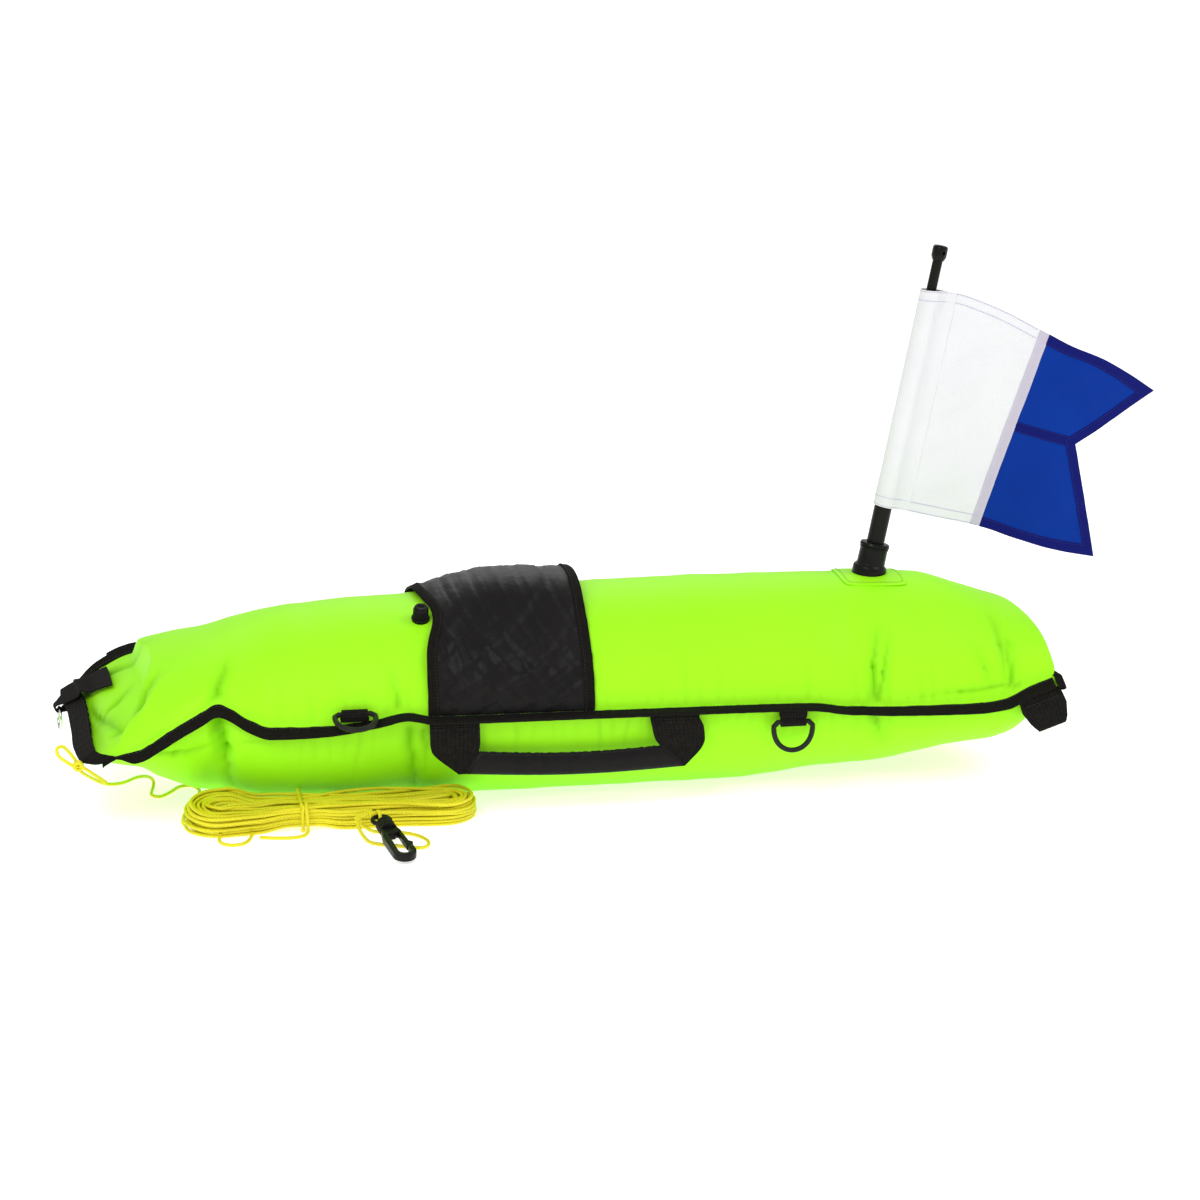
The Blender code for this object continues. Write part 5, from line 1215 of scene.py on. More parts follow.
leg_depths = np.linspace(0, 1, 29)
legs = []
for name, outer_x, turn_in, outer_edge, inner_edge in (
    (
        "handle_leg_fore", -0.142, 1,
        smooth_through((-51, 27), (-46, 21), (-32, 4.5), (-27, 1.2), (-20, 0.2), (0, 0), (1.5, 0)),
        smooth_through((-51, 34), (-40, 40), (-30, 45.2), (-26, 47.2), (-20, 48.2), (0, 48), (1.5, 48)),
    ),
    (
        "handle_leg_aft", 0.120, -1,
        smooth_through((-51, 14), (-46, 9), (-30, -4.0), (-24, -5.6), (-12, -4.8), (0, 0), (1.5, 0)),
        smooth_through((-51, 21), (-40, 29), (-30, 38), (-22, 43.5), (-12, 46), (0, 48), (1.5, 48)),
    ),
):
    down = 1.5 - 52.5 * leg_depths[:, None]
    share = np.linspace(0, 1, 25)[None]
    across = outer_edge(down) + (inner_edge(down) - outer_edge(down)) * share
    bow = 1.4 * np.sin(np.pi * np.clip(-down / 51, 0, 1)) * (0.6 + 0.4 * share)
    bow = bow + 0.35 * drift(down + across, 31.0, outer_x * 9)
    places = handle_place(outer_x + turn_in * across / 1000, -bow / 1000, down / 1000)
    legs.append(round_edges(loft(name, places, 0.0022, 0.0, angle=40), 0.0006, 2, 60))


def joined(name, *pieces):
    """Several meshes made one."""
    alone(*pieces)
    bpy.ops.object.join()
    pieces[0].name = pieces[0].data.name = name
    return pieces[0]


fit(joined("handle_legs", *legs), "handle", "black_webbing", black_webbing, "handle_webbing")
grip_rows = np.linspace(0, 1, 141)
grip_side = [
    (0.0010, 1.0), (0.0011, 0.955), (0.0016, 0.92), (0.0030, 0.84), (0.0040, 0.70), (0.0044, 0.52),
    (0.0042, 0.34), (0.0034, 0.17), (0.0019, 0.05),
]
grip_profile = grip_side + [(0.0, 0.0)] + [(-y, height) for y, height in grip_side[::-1]]
table = []
for y, height in grip_profile:
    start, end = -0.1095 + 0.0140 * height, 0.1060 - 0.0180 * height
    x = start + (end - start) * grip_rows
    sag = -0.0040 * np.sin(np.pi * grip_rows)
    top, bottom = -0.0292 + sag, -0.0512 + 1.1 * sag
    pucker = drift(x * 1000 + 6 * height, 11.0, 0.3) + 0.8 * drift(x * 1000 - 9 * height, 6.1, 1.7)
    swell = 1 + (0.10 * pucker * (height < 0.9) + 0.05 * drift(x * 1000, 60.0, 0.2)) * (0.4 + 0.6 * height)
    ends = np.clip(np.minimum(grip_rows, 1 - grip_rows) / 0.02, 0.55, 1)
    rise = (top - bottom) * height + 0.0004 * pucker * (height > 0.9)
    table.append(handle_place(x, y * swell * ends, bottom + rise))
grip = loft("handle_grip_cover", np.stack(table, 1), 0.0007, 1.0, angle=60)
fit(grip, "handle", "black_nylon", black_nylon, "handle_grip")
stitch_x = -0.0950 + 0.172 * grip_rows
stitch_down = -0.0309 - 0.0040 * np.sin(np.pi * grip_rows)
handle_lines = [(handle_place(stitch_x, side * 0.0021, stitch_down), (0, side, 0)) for side in (-1, 1)]
for x, step in ((-0.140, 1), (0.118, -1)):
    for down in (-0.003, -0.0062):
        handle_lines.append((handle_place(x + np.linspace(0, 0.044, 24) * step, -0.0013, down), (0, -1, 0)))
fit(stitched("handle_stitches", handle_lines, 0.0030, 0.00055), "handle", "black_nylon", black_thread)


# D-rings: four rings of black moulded plastic, two to a side. Each hangs in a tab of nylon webbing that is
# folded through it and sewn on at the binding.
def pipe(name, path, radius, sides=12, closed=False, flat=1.0, angle=80):
    """A strand along a path, its UV map running along it and round it. Its ends are closed and rounded."""
    path = np.asarray(path, float)
    radius = np.broadcast_to(np.asarray(radius, float), (len(path),)).copy()
    ahead = unit(np.roll(path, -1, 0) - np.roll(path, 1, 0)) if closed else unit(np.gradient(path, axis=0))
    side = np.empty_like(path)
    side[0] = unit(np.cross(ahead[0], (0, 0, 1) if abs(ahead[0, 2]) < 0.9 else (1, 0, 0)))
    for i in range(1, len(path)):
        side[i] = unit(side[i - 1] - ahead[i] * side[i - 1].dot(ahead[i]))
    twist = np.zeros(len(path) + 1)
    if closed:
        last = unit(side[-1] - ahead[0] * side[-1].dot(ahead[0]))
        gap = math.atan2(np.cross(last, side[0]).dot(ahead[0]), last.dot(side[0]))
        twist = gap * np.arange(len(path) + 1) / len(path)
        whole = (path, ahead, side, radius)
        path, ahead, side, radius = (np.concatenate([part, part[:1]]) for part in whole)
        side[-1] = last
    else:
        first_cap = path[:1] - ahead[:1] * radius[0] * 0.5
        last_cap = path[-1:] + ahead[-1:] * radius[-1] * 0.5
        path = np.concatenate([first_cap, first_cap, path, last_cap, last_cap])
        ahead, side = (
            np.concatenate([part[:1], part[:1], part, part[-1:], part[-1:]]) for part in (ahead, side)
        )
        radius = np.concatenate([[0, radius[0] * 0.7], radius, [radius[-1] * 0.7, 0]])
        twist = np.zeros(len(path))
    over = np.cross(ahead, side)
    turn = np.linspace(0, 2 * math.pi, sides + 1)[None] + twist[:, None]
    table = path[:, None] + radius[:, None, None] * (
        np.cos(turn)[..., None] * side[:, None] + flat * np.sin(turn)[..., None] * over[:, None]
    )
    table[:, -1] = table[:, 0]
    if closed:
        table[-1] = table[0]
    return loft(name, table, merge=True, angle=angle)


ring_half, ring_depth, ring_wire = 0.0194, 0.0288, 0.0052
tab_half, tab_inner = 0.0135, 0.0029
ring_path = [(x, 0.0) for x in -ring_half + 0.004 + (2 * ring_half - 0.008) * np.arange(9) / 8]
for turn in math.pi * np.arange(41) / 40:
    ring_path.append((ring_half * math.cos(turn), -0.0042 - (ring_depth - 0.0042) * math.sin(turn) ** 0.85))
tab_lines = []
for name, node, body, pivot, tilt, tab_tilt, tab_reach in (
    (
        "near_front_ring", "d_ring_near_nose", "near_nose_ring", (-0.213276, -0.124504, 0.108745),
        -75, -160, 0.0052,
    ),
    ("near_rear_ring", "d_ring_near_tail", "near_tail_ring", (0.213785, -0.124750, 0.079781), 0, 0, 0.012),
    ("far_front_ring", "d_ring_far_nose", "far_nose_ring", (-0.213025, 0.124750, 0.083398), 0, 0, 0.012),
    ("far_rear_ring", "d_ring_far_tail", "far_tail_ring", (0.213893, 0.124750, 0.076331), 0, 0, 0.012),
):
    place = Matrix.Translation(pivot) @ Matrix.Rotation(math.radians(tilt), 4, "X")
    path = [tuple(place @ Vector((x, 0, z))) for x, z in ring_path]
    ring = pipe(name, path, ring_wire / 2, 16, closed=True)
    fit(ring, body, "black_plastic", ring_plastic, node)
    root = Matrix.Translation(pivot) @ Matrix.Rotation(math.radians(tab_tilt), 4, "X")
    root = root @ Matrix.Translation((0, 0, tab_reach))
    half_gap = tab_inner * 0.46
    tab_line = [(tab_inner * 0.50, 0.0022), (half_gap, -tab_reach * 0.16), (half_gap, -tab_reach * 0.40)]
    tab_line += arc(0, -tab_reach, tab_inner * 1.12, 55, -235, 13) + [(-y, z) for y, z in tab_line[::-1]]
    rows = []
    for share in np.linspace(-1, 1, 15):
        narrow = tab_half - 0.0012 * np.array([abs(z) > tab_reach * 0.6 for _, z in tab_line])
        rows.append([tuple(root @ Vector((share * half, y, z))) for (y, z), half in zip(tab_line, narrow)])
    tab = loft(name + "_tab_folded", np.array(rows).transpose(1, 0, 2), 0.0014, 1.0, angle=50)
    fit(tab, "float", "black_webbing", black_webbing, node + "_tab")
    for face in (1, -1):
        for down in (-0.0030, -0.0056) if tab_reach > 0.01 else ():
            y = face * (half_gap + 0.0016)
            path = [tuple(root @ Vector((x, y, down))) for x in np.linspace(-0.0115, 0.0115, 12)]
            tab_lines.append((path, np.array(root.to_3x3() @ Vector((0, face, 0)))))
fit(stitched("tab_stitches", tab_lines, 0.0028, 0.0006), "float", "black_webbing", black_thread)

# Tow ring: a welded ring of polished steel. It hangs in a webbing strap that is folded over the nose band
# and sewn down behind it.
tow_across, tow_half, tow_turn, tow_wall = 0.80, 0.021, 0.0035, 0.0016
tow_pivot, ring_side = np.array([-0.490585, 0.095068, 0.067105]), np.array([-0.134362, 0.990932, 0.0])
tow_seam = weld(0.0, tow_across)
tow_edge = unit(weld(0.0, tow_across + 0.01) - weld(0.0, tow_across - 0.01))
tow_up = unit(np.cross(nose_out, tow_edge))
tow_up = tow_up * np.sign(tow_up[2])
band_half, band_reach = 0.0037, 0.0224
tow_pin = (tow_pivot - tow_seam).dot(nose_out)
strap_line = [(0.0, 0.0085), (0.0035, 0.0050), (0.008, band_half + 0.0006), (band_reach - 0.003, band_half)]
strap_line += arc(tow_pin, 0, tow_turn, 100, -100, 13)
strap_line += [(band_reach - 0.001, -band_half), (0.010, -band_half), (0.0015, -band_half)]
strap_back, strap_slant = np.array([0.027, 0.021, 0.014, 0.0085]), np.array([0.13, 0.10, 0.06, 0.02])
strap_rows = []
for share in np.linspace(-1, 1, 21):
    behind = hull_skin(strap_back, tow_across + share * tow_half / 0.218 - strap_slant)
    row = [point + np.array([-0.0034, 0, 0.0026]) + tow_edge * share * 0.0006 for point in behind]
    for a, b in strap_line:
        gather = min(1.0, max(0.0, (a - band_reach * 0.6) / (tow_pin - band_reach * 0.6)))
        row.append(tow_seam + nose_out * a + tow_up * b + tow_edge * share * tow_half * (1 - 0.75 * gather))
    strap_rows.append(row)
strap = loft("tow_strap_folded", np.array(strap_rows).transpose(1, 0, 2), tow_wall, 1.0, angle=50)
fit(strap, "float", "black_webbing", black_webbing, "tow_strap")
steel, tree, shader = finish_of("polished_steel", (0.72, 0.71, 0.68), 0.16, Metallic=1.0)
scratch = noise(tree, add(tree, "ShaderNodeTexCoord").outputs["Object"], 600.0, 4.0)
feed(
    tree, shader, Base_Color=mixed(tree, scratch, (0.62, 0.60, 0.56), (0.82, 0.81, 0.79)),
    Roughness=ranged(tree, scratch, 0.10, 0.28), Normal=raised(tree, scratch, 0.00005, 0.3),
)
tow_radius, tow_wire = 0.0115, 0.0034
ring_turns = np.linspace(0, 2 * math.pi, 61)[:-1, None]
ring_centre = tow_pivot - np.array([0, 0, tow_radius])
tow_circle = np.sin(ring_turns) * ring_side + np.cos(ring_turns) * np.array([0, 0, 1.0])
tow_path = ring_centre + tow_radius * tow_circle
weld_bead = tow_wire / 2 * (1 + 0.16 * np.exp(-(((np.arange(60) - 14) / 1.1) ** 2)))
fit(pipe("tow_ring_welded", tow_path, weld_bead, 16, closed=True), "nose_ring", "steel", steel, "tow_ring")

# Grab loop: webbing folded on itself, its edges turned in at the fold, and sewn under the near corner of the
# tail.
loop_root = Vector((0.463, -0.123193, 0.0955))
loop_half_width, loop_drop, loop_gap = 0.0215, 0.039, 0.004
loop_turn = Matrix.Rotation(math.radians(-19), 3, "Y")
loop_side = [
    (0.0012, 0.0030), (0.0014, -0.002), (0.0032, -0.008), (loop_gap, -0.016), (loop_gap, -0.030),
    (loop_gap, 0.008 - loop_drop),
]
loop_fold = arc(0, 0.006 - loop_drop, loop_gap, 180, 360, 9)
loop_line = [(-y, z) for y, z in loop_side] + loop_fold + loop_side[::-1]
loop_rows = []
for share in np.linspace(-1, 1, 25):
    row = []
    for y, z in loop_line:
        fold = max(0.0, -z / loop_drop - 0.50) / 0.5
        half = loop_half_width - 0.0105 * fold ** 1.3
        lean_back = 0.004 * max(0.0, -z / loop_drop)
        across = share * half + lean_back * (1 if share > 0 else 0.3)
        row.append(tuple(loop_root + loop_turn @ Vector((across, y, z))))
    loop_rows.append(row)
tail_loop = loft("tail_loop_folded", np.array(loop_rows).transpose(1, 0, 2), 0.0017, 0.0, angle=45)
fit(tail_loop, None, "black_webbing", black_webbing, "tail_grab_loop")
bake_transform(tail_loop)
loop_lines = []
for face in (1, -1):
    for down in (-0.0035, -0.0075):
        y = face * (0.0017 + 0.00085 if down > -0.005 else 0.0031 + 0.00095)
        row_x = np.linspace(-0.0185, 0.0185, 16)
        row = [tuple(loop_root + loop_turn @ Vector((x, y, down))) for x in row_x]
        loop_lines.append((row, np.array([0, float(face), 0])))
fit(stitched("loop_stitches", loop_lines, 0.0030, 0.0006), "float", "black_webbing", black_thread)

# Line: about twenty-seven metres of braided cord in a safety yellow, one unbroken run. It is knotted at the
# nose, lies under the nose on the floor, is wound into a hank tied at its waist, and ends at the snap.
line, line_low = 0.0034, 0.0019
hank_middle = np.array([-0.2365, -0.1125])
hank_inner, hank_spread, bend_reach = 0.0065, 0.0275, 0.1045
turns_per_layer, layers, hank_turns = 8, 6, 47 + 7 / 24
tie_x, waist_reach = -0.266, 0.030
layer_pitch, waist_pitch, hank_lean, nest = 0.0036, 0.0031, 0.0014, 0.0017
pinch, pinch_over, waist_lift, head_lift, stray_sway = 0.0046, 0.045, 0.0034, 0.009, 0.0085
loop_phase = (0, 3, 9, 15, 21, 24)
loop_middles = (-bend_reach, -bend_reach, bend_reach, bend_reach, -bend_reach, -bend_reach)
loop_angles = (180, 270, 270, 450, 450, 540)
phases = np.concatenate([
    np.linspace(start, stop, count)[:-1]
    for start, stop, count in ((0, 3, 8), (3, 9, 24), (9, 15, 15), (15, 21, 24), (21, 24, 8))
])
stray_loops = (
    (42.2, 1, 0.0030), (44.6, -1, 0.0034), (45.9, 1, 0.0026), (37.4, -1, 0.0016), (43.4, -0.6, 0.0024),
    (40.3, 0.8, 0.0026), (46.4, -0.7, 0.0040),
)


def hank_route():
    """Middle of the line through the hank, from its outermost loop on the floor to its top layer."""
    count = np.arange(int(hank_turns) + 1)[:, None]
    turn = (count + phases[None] / 24).ravel()
    turn = turn[turn <= hank_turns]
    phase = (turn % 1) * 24
    odd = 0.5 - 0.5 * np.cos(np.pi * np.clip(turn / turns_per_layer - 0.5, 0, layers - 1))
    reach = hank_inner + hank_spread * np.abs(1 - (turn / turns_per_layer) % 2) + nest * odd
    middle = np.interp(phase, loop_phase, loop_middles)
    angle = np.radians(np.interp(phase, loop_phase, loop_angles))
    ends = np.clip(np.minimum(turn, hank_turns - turn) / 0.4, 0, 1)
    stretch = 0.0020 * drift(turn, 3.7, 0.6) * ends
    x = middle + (reach + stretch * np.abs(np.cos(angle))) * np.cos(angle)
    closing = eased(np.clip((bend_reach - np.abs(x)) / pinch_over, 0, 1))
    y = (reach - pinch * closing) * np.sin(angle)
    world_x = hank_middle[0] + x
    waist = np.exp(-(((world_x - tie_x) / waist_reach) ** 4))
    wander = ends * (1 - 0.75 * waist)
    y = y * (1 - 0.20 * waist) + 0.0013 * drift(turn * 24, 9.7, 0.2) * wander
    layer = sum(np.clip((turn - i * turns_per_layer) / 0.5 + 0.5, 0, 1) for i in range(1, layers))
    z = line_low + waist * waist_lift + layer * (layer_pitch + (waist_pitch - layer_pitch) * waist)
    z = np.maximum(line_low, z + 0.0012 * drift(turn * 24, 7.3, 1.1) * wander * np.minimum(1, layer))
    for loose, way, height in stray_loops:
        stray = np.exp(-(((turn - loose) / 0.22) ** 4)) * ends
        sway = np.sin(np.pi * np.clip((x + bend_reach) / (2 * bend_reach), 0, 1) * 2.2)
        y, z = y + way * stray_sway * stray * sway, z + height * stray
    tilt = eased(np.clip((-0.305 - world_x) / 0.030, 0, 1))
    z = z + head_lift * tilt * np.clip((y + 0.034) / 0.068, 0, 1) * ends
    return turn, np.stack([world_x, hank_middle[1] + y - hank_lean * layer, z], 1)


hank_turn, hank = hank_route()
slack_turn, slack_x = 1.0, -0.331
slack_outline = (
    (-0.0125, -0.003), (-0.0150, -0.013), (-0.0120, -0.025), (-0.003, -0.031), (0.007, -0.028),
    (0.0130, -0.018), (0.0170, -0.005),
)
near_run = [
    i for i, (turn, point) in enumerate(zip(hank_turn, hank))
    if slack_turn < turn < slack_turn + 1
    and point[1] < hank_middle[1] - 0.02 and abs(point[0] - slack_x) < 0.013
]
slack_y = hank[near_run[0]][1]
route = list(hank)
route[near_run[0]:near_run[-1] + 1] = [
    np.array([slack_x + dx, slack_y + dy, line_low + max(0, 0.004 + 0.5 * dy)]) for dx, dy in slack_outline
]


def through(points, step):
    """Points at even steps on a smooth curve through a route's own points."""
    points = np.asarray(points, float)
    points = np.concatenate([2 * points[:1] - points[1:2], points, 2 * points[-1:] - points[-2:-1]])
    a, b, c, d = points[:-3], points[1:-2], points[2:-1], points[3:]
    t = np.linspace(0, 1, 12, endpoint=False)[None, :, None]
    a, b, c, d = (part[:, None] for part in (a, b, c, d))
    square, cube = 2 * a - 5 * b + 4 * c - d, 3 * b - 3 * c + d - a
    fine = 0.5 * (2 * b + (c - a) * t + square * t * t + cube * t ** 3)
    fine = np.concatenate([fine.reshape(-1, 3), points[-2:-1]])
    run = run_along(fine)
    return read_at(np.linspace(0, run[-1], max(3, round(run[-1] / step) + 1)), run, fine)


knot_seam = weld(0.0, 0.14)
knot_middle = knot_seam + nose_out * (flange_reach(0.14) + 0.0024 + 0.0054)
lead = unit(np.array([0.40, 0.35, -0.85]))
line_start = knot_middle + lead * (0.0048 * 1.12 + 0.0003)
enter = unit(hank[1] - hank[0])
nose_route = [line_start, line_start + lead * line * 1.2] + [np.array(p) for p in (
    (-0.4500, -0.0660, 0.0350), (-0.4330, -0.0440, 0.0275), (-0.4170, -0.0160, 0.0240),
    (-0.4060, 0.0060, 0.0170), (-0.4010, 0.0170, 0.0080),
    (-0.4030, 0.0080, line_low), (-0.4040, -0.0060, line_low), (-0.3960, -0.0130, line_low),
    (-0.3860, -0.0010, line_low), (-0.3760, 0.0160, line_low), (-0.3640, 0.0180, line_low),
    (-0.3570, 0.0000, line_low), (-0.3620, -0.0300, line_low), (-0.3720, -0.0620, line_low),
)] + [hank[0] - enter * 0.020, hank[0] - enter * 0.008]
clip_end = Vector((-0.1970, -0.1660, 0.0205))
clip_along = Vector((0.205352, -0.966105, -0.156434))
clip_across = Vector((-0.978148, -0.207912, 0))
clip_up = clip_across.cross(clip_along)
clip_place = Matrix.Translation(clip_end) @ Matrix((clip_across, clip_along, clip_up)).transposed().to_4x4()
eye_loop, eye_loop_middle, knot_length = 0.0050, 0.0019, 0.0080
meet = np.array(clip_place @ Vector((knot_length, eye_loop_middle - eye_loop, 0)))
leave = unit(hank[-1] - hank[-2])
snap_route = [hank[-1] + leave * line * 1.3] + [np.array(p) for p in (
    (-0.2175, -0.1560, 0.0160), (-0.2100, -0.1585, 0.0085),
    (-0.2010, -0.1595, 0.0030), (-0.1900, -0.1600, line_low), (-0.1760, -0.1640, line_low),
    (-0.1630, -0.1735, line_low), (-0.1550, -0.1870, line_low), (-0.1530, -0.2000, line_low),
    (-0.1580, -0.2110, line_low), (-0.1690, -0.2105, line_low), (-0.1830, -0.2030, line_low),
    (-0.1980, -0.1960, line_low), (-0.2090, -0.1910, 0.0040), (-0.2155, -0.1800, 0.0110),
    (-0.2165, -0.1710, 0.0180),
)] + [meet + np.array(clip_across) * 0.006, meet]
cord_path = through(nose_route + route + snap_route, 0.0045)

yellow_line, tree, shader = finish_of(
    "braided_yellow_line", (0.80, 0.72, 0.020), 0.5, Specular_IOR_Level=0.4,
)
where = add(tree, "ShaderNodeTexCoord").outputs
apart = add(tree, "ShaderNodeSeparateXYZ", {0: where["UV"]}).outputs
plait, plaits_round = 0.0032, 3
strands = []
for way in (1, -1):
    lean = maths(tree, "MULTIPLY", apart[1], way * plaits_round * 2 / line)
    turn = maths(tree, "MULTIPLY_ADD", apart[0], 2 * math.pi / plait, lean)
    strands.append(maths(tree, "SINE", turn))
braid = maths(tree, "MAXIMUM", *strands)
# Painted shade: the colour darkens in the gaps between the strands, where the braid is low, and is mottled
# by noise.
level = maths(tree, "MULTIPLY_ADD", braid, 0.35, 0.55, clamp=True)
strand_shade_and_mottle = maths(tree, "MULTIPLY", level, noise(tree, where["Object"], 30.0, 4.0))
tone = maths(tree, "MULTIPLY", strand_shade_and_mottle, 1.6, clamp=True)
feed(
    tree, shader, Base_Color=mixed(tree, tone, (0.72, 0.63, 0.007), (0.92, 0.85, 0.018)),
    Normal=raised(tree, braid, 0.0003, 0.8),
)
cord = pipe("tow_cord", cord_path, line / 2, 8)
fit(cord, "float", "yellow_line", yellow_line, "tow_line", "line_hank", "line_end")

# Knot at the nose: the same braided line, drawn tight at the edge of the band in a slipped bow. Its loop and
# its tail stand free.
wrap_radius, wrap_width, wrap_steps = 0.0036, 0.0068, 36
wraps = []
for k in range(wrap_steps + 1):
    turn = 2 * math.pi * k / 12
    beside = wrap_width * k / wrap_steps - wrap_width / 2
    around = [wrap_radius * math.cos(turn), beside, wrap_radius * math.sin(turn)]
    wraps.append(knot_middle + np.array(around))
bow = through([knot_middle + np.array(p) / 1000 for p in (
    (1, 1, 1), (-3, 3, 6), (-9, 4.5, 14), (-14, 3, 19), (-19, 0, 18), (-18, -3, 12), (-11, -4, 6),
    (-3, -2, 0), (2, 1, 0),
)], 0.0012)
knot_tail = through([knot_middle + np.array(p) / 1000 for p in (
    (0, 0, 0), (5, -4, -1), (12, -8, -5), (19, -9, -10), (25, -8, -15),
)], 0.0012)
nose_knot = joined(
    "nose_knot", pipe("wraps", through(wraps, 0.0012), line / 2, 10), pipe("bow", bow, line / 2, 10),
    pipe("knot_tail", knot_tail, line / 2, 10),
)
fit(nose_knot, "float", "yellow_line", yellow_line, "line_knot")

# Tie: a short end of the same braided line, wrapped once round the waist of the hank. Its tail is tucked
# under itself and lies on the floor.
near_tie = hank[np.abs(hank[:, 0] - tie_x) < 0.012]
tie_low_y, tie_high_y = near_tie[:, 1].min() - line, near_tie[:, 1].max() + line
tie_top = near_tie[:, 2].max() + line * 0.9
tie_path = []
for corner_y, corner_z, start, way_y, way_z, radius in (
    (tie_high_y, tie_top, 0, -1, -1, 0.0060), (tie_low_y, tie_top, 1, 1, -1, 0.0060),
    (tie_low_y, line_low, 2, 1, 1, 0.0024), (tie_high_y, line_low, 3, -1, 1, 0.0024),
):
    for k in range(7):
        turn = math.pi / 2 * (start + k / 6)
        tie_path.append((
            tie_x + 0.0008 * math.sin(3 * turn), corner_y + way_y * radius + radius * math.cos(turn),
            corner_z + way_z * radius + radius * math.sin(turn),
        ))
tie_tail = through([
    (tie_x + 0.0036, tie_low_y + 0.006, tie_top + 0.001),
    (tie_x + 0.0036, tie_low_y - 0.001, tie_top - 0.004),
    (tie_x + 0.0040, tie_low_y - 0.0035, 0.009), (tie_x + 0.0035, tie_low_y - 0.008, 0.0035),
    (tie_x - 0.002, tie_low_y - 0.0135, line_low), (tie_x - 0.014, tie_low_y - 0.0165, line_low),
    (tie_x - 0.028, tie_low_y - 0.0145, line_low), (tie_x - 0.041, tie_low_y - 0.0105, line_low),
], 0.0015)
tie_loop = np.concatenate([
    np.linspace(a, b, max(2, int(np.linalg.norm(np.subtract(b, a)) / 0.0015)), endpoint=False)
    for a, b in zip(tie_path, tie_path[1:] + tie_path[:1])
])
tie = joined(
    "hank_tie_wrapped", pipe("wrap", tie_loop, line / 2, 10, closed=True),
    pipe("tie_tail", tie_tail, line / 2, 10),
)
fit(tie, "float", "yellow_line", yellow_line, "hank_tie")

# Snap: a swivel snap of black nylon. The eye is moulded with a ribbed collar, the hook turns in it, and a
# sprung gate with a thumb nub closes the hook.
snap_plastic = moulded("black_snap_plastic", (0.008, 0.007, 0.0065), 0.34, 0.0001, 0.14)


def cast_bar(name, outline, thickness, round_edge):
    """A moulded bar: an outline filled flat, drawn up to its thickness and rounded all round."""
    bpy.ops.object.select_all(action="DESELECT")
    bpy.ops.mesh.primitive_circle_add(vertices=len(outline), radius=1, fill_type="NGON", location=(0, 0, 0))
    piece = bpy.context.object
    piece.name = piece.data.name = name
    for corner, (x, y) in zip(piece.data.vertices, outline):
        corner.co = (x, y, -thickness / 2)
    bpy.ops.object.mode_set(mode="EDIT")
    bpy.ops.mesh.select_all(action="SELECT")
    bpy.ops.mesh.extrude_region_move(TRANSFORM_OT_translate={"value": (0, 0, thickness)})
    bpy.ops.mesh.select_all(action="SELECT")
    bpy.ops.mesh.normals_make_consistent(inside=False)
    bpy.ops.object.mode_set(mode="OBJECT")
    return round_edges(piece, round_edge, 4, 50)


eye_radius, eye_wire, collar_start, collar_end, collar_radius = 0.0105, 0.0045, 0.0185, 0.0330, 0.0085
eye_path = [(x, y, 0) for x, y in arc(0, eye_radius, eye_radius - eye_wire / 2, 0, 360, 49)[:-1]]
eye = pipe("eye_ring", eye_path, eye_wire / 2, 14, closed=True)
along_clip = Matrix.Rotation(-math.pi / 2, 4, "X")
collar_steps = [(collar_radius - 0.0022, collar_start - 0.0008), (collar_radius - 0.0004, collar_start)]
rib_pitch = (collar_end - collar_start) / 5
for k in range(5):
    low = collar_start + rib_pitch * k
    wide = collar_radius - (0.0009 if k % 2 else 0)
    collar_steps += [(wide, low + 0.0003), (wide, low + rib_pitch - 0.0003)]
collar_steps += [(collar_radius - 0.0010, collar_end)]
collar_part = turned("eye_collar", collar_steps, 36, 0.00025)
collar_part.data.transform(along_clip)
snap_eye = joined("snap_eye", collar_part, eye)
fit(stand(snap_eye, clip_place, 35), "float", "black_plastic", snap_plastic, "clip_eye")

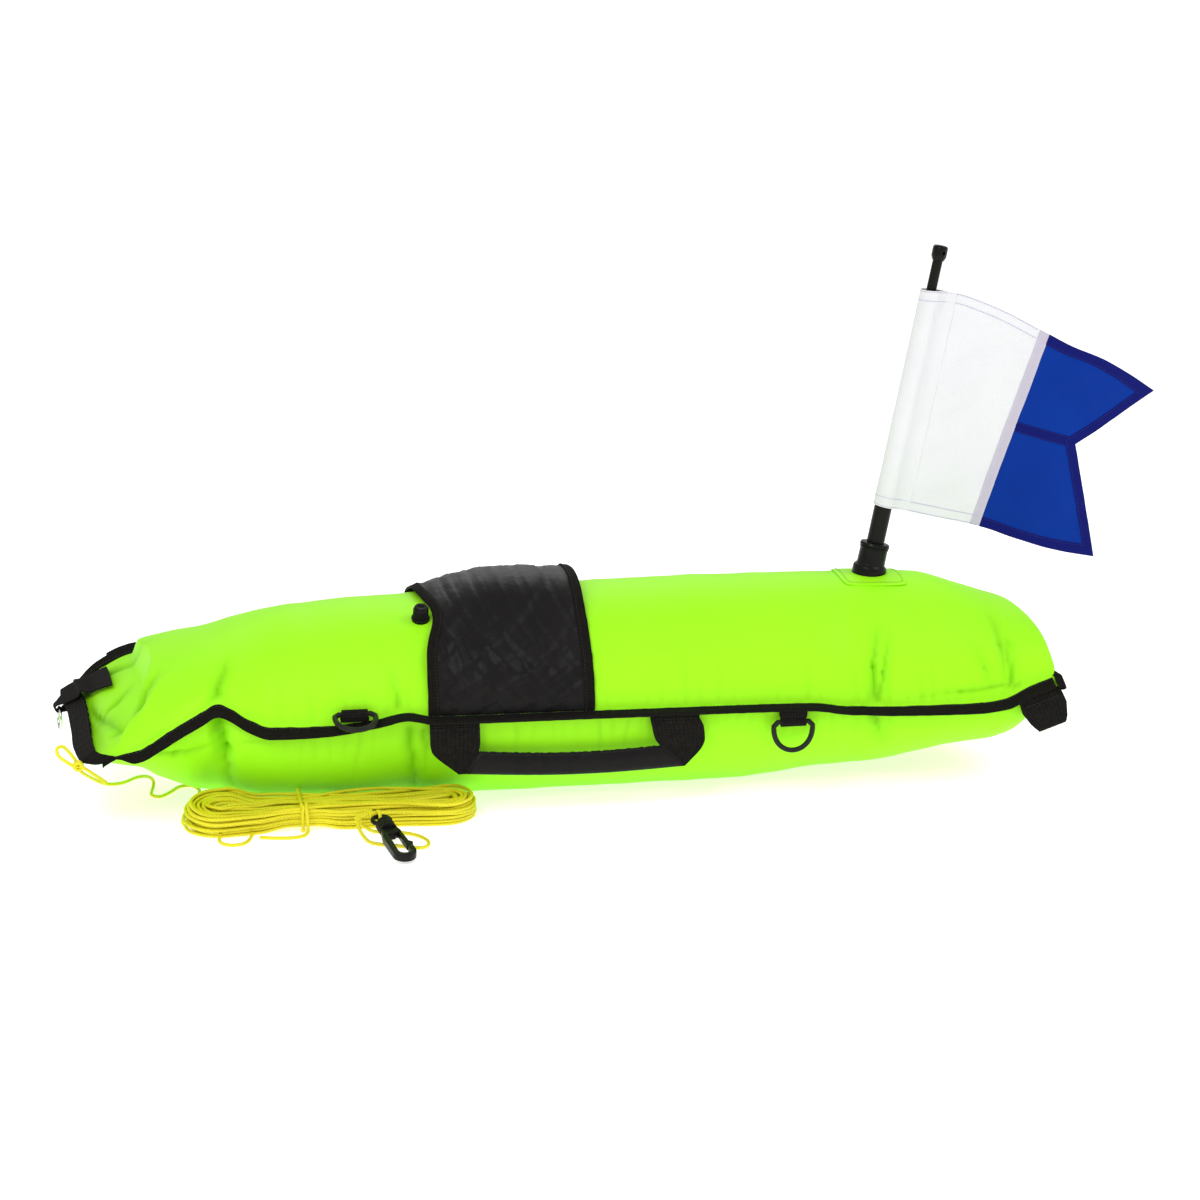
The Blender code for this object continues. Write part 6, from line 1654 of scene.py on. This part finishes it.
hook_start, clip_length = collar_end + 0.0003, 0.0905
bend = clip_length - 0.0112
hook_outer, hook_inner = 0.0112, 0.0055
hook_outline = [(-0.0076, hook_start), (0.0076, hook_start), (0.0090, 0.0385), (hook_outer, 0.050)]
hook_outline += arc(0, bend, hook_outer, 0, 180, 17) + [(-hook_outer, 0.0696), (-0.0062, 0.0710)]
hook_outline += arc(0, bend, hook_inner, 180, 0, 17) + [
    (0.0046, 0.047), (0.0030, 0.0448), (-0.0030, 0.0448), (-0.0042, 0.0426), (-0.0095, 0.0426),
    (-0.0092, 0.038),
]
hook = cast_bar("snap_hook", hook_outline, 0.0080, 0.0022)
pin = turned("swivel_pin", (
    (0.0026, 0.0126), (0.0034, 0.0134), (0.0036, 0.0146), (0.0028, 0.0150), (0.0028, 0.0375),
), 20, 0.0002)
pin.data.transform(along_clip)
hook = stand(joined("snap_hook", hook, pin), clip_place, 50)
fit(hook, "hook", "black_plastic", snap_plastic, "clip_hook")
gate_outline = (
    (-0.0096, 0.0442), (-0.0086, 0.0433), (-0.0066, 0.0433), (-0.0056, 0.0442), (-0.0054, 0.060),
    (-0.0056, 0.0703), (-0.0106, 0.0690), (-0.0108, 0.0672), (-0.0130, 0.0660), (-0.0132, 0.0630),
    (-0.0103, 0.0612),
)
gate = cast_bar("snap_gate", gate_outline[::-1], 0.0062, 0.0009)
fit(stand(gate, clip_place, 50), "gate", "black_plastic", snap_plastic, "clip_gate")

# End knot: the same line tied through the snap's eye, with a few turns round its own standing part.
hitch = [(0, y, z) for y, z in arc(eye_loop_middle, 0, eye_loop, 0, 360, 25)[:-1]]
turn_radius, turns_start, turns_length, turn_steps = 0.0021, 0.0002, 0.0074, 42
knot_turns = []
for k in range(turn_steps + 1):
    turn = 2 * math.pi * k / 12
    knot_turns.append((
        turns_start + turns_length * k / turn_steps,
        eye_loop_middle - eye_loop + turn_radius * math.cos(turn), turn_radius * math.sin(turn),
    ))
end_tie = joined(
    "end_knot_tied", pipe("eye_hitch", hitch, line / 2, 10, closed=True),
    pipe("knot_turns", through(knot_turns, 0.0009), line * 0.36, 10),
)
fit(stand(end_tie, clip_place, 80), "float", "yellow_line", yellow_line, "end_knot")

size = {"cad": cad_box, "scene": [list(corner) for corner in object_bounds()]}
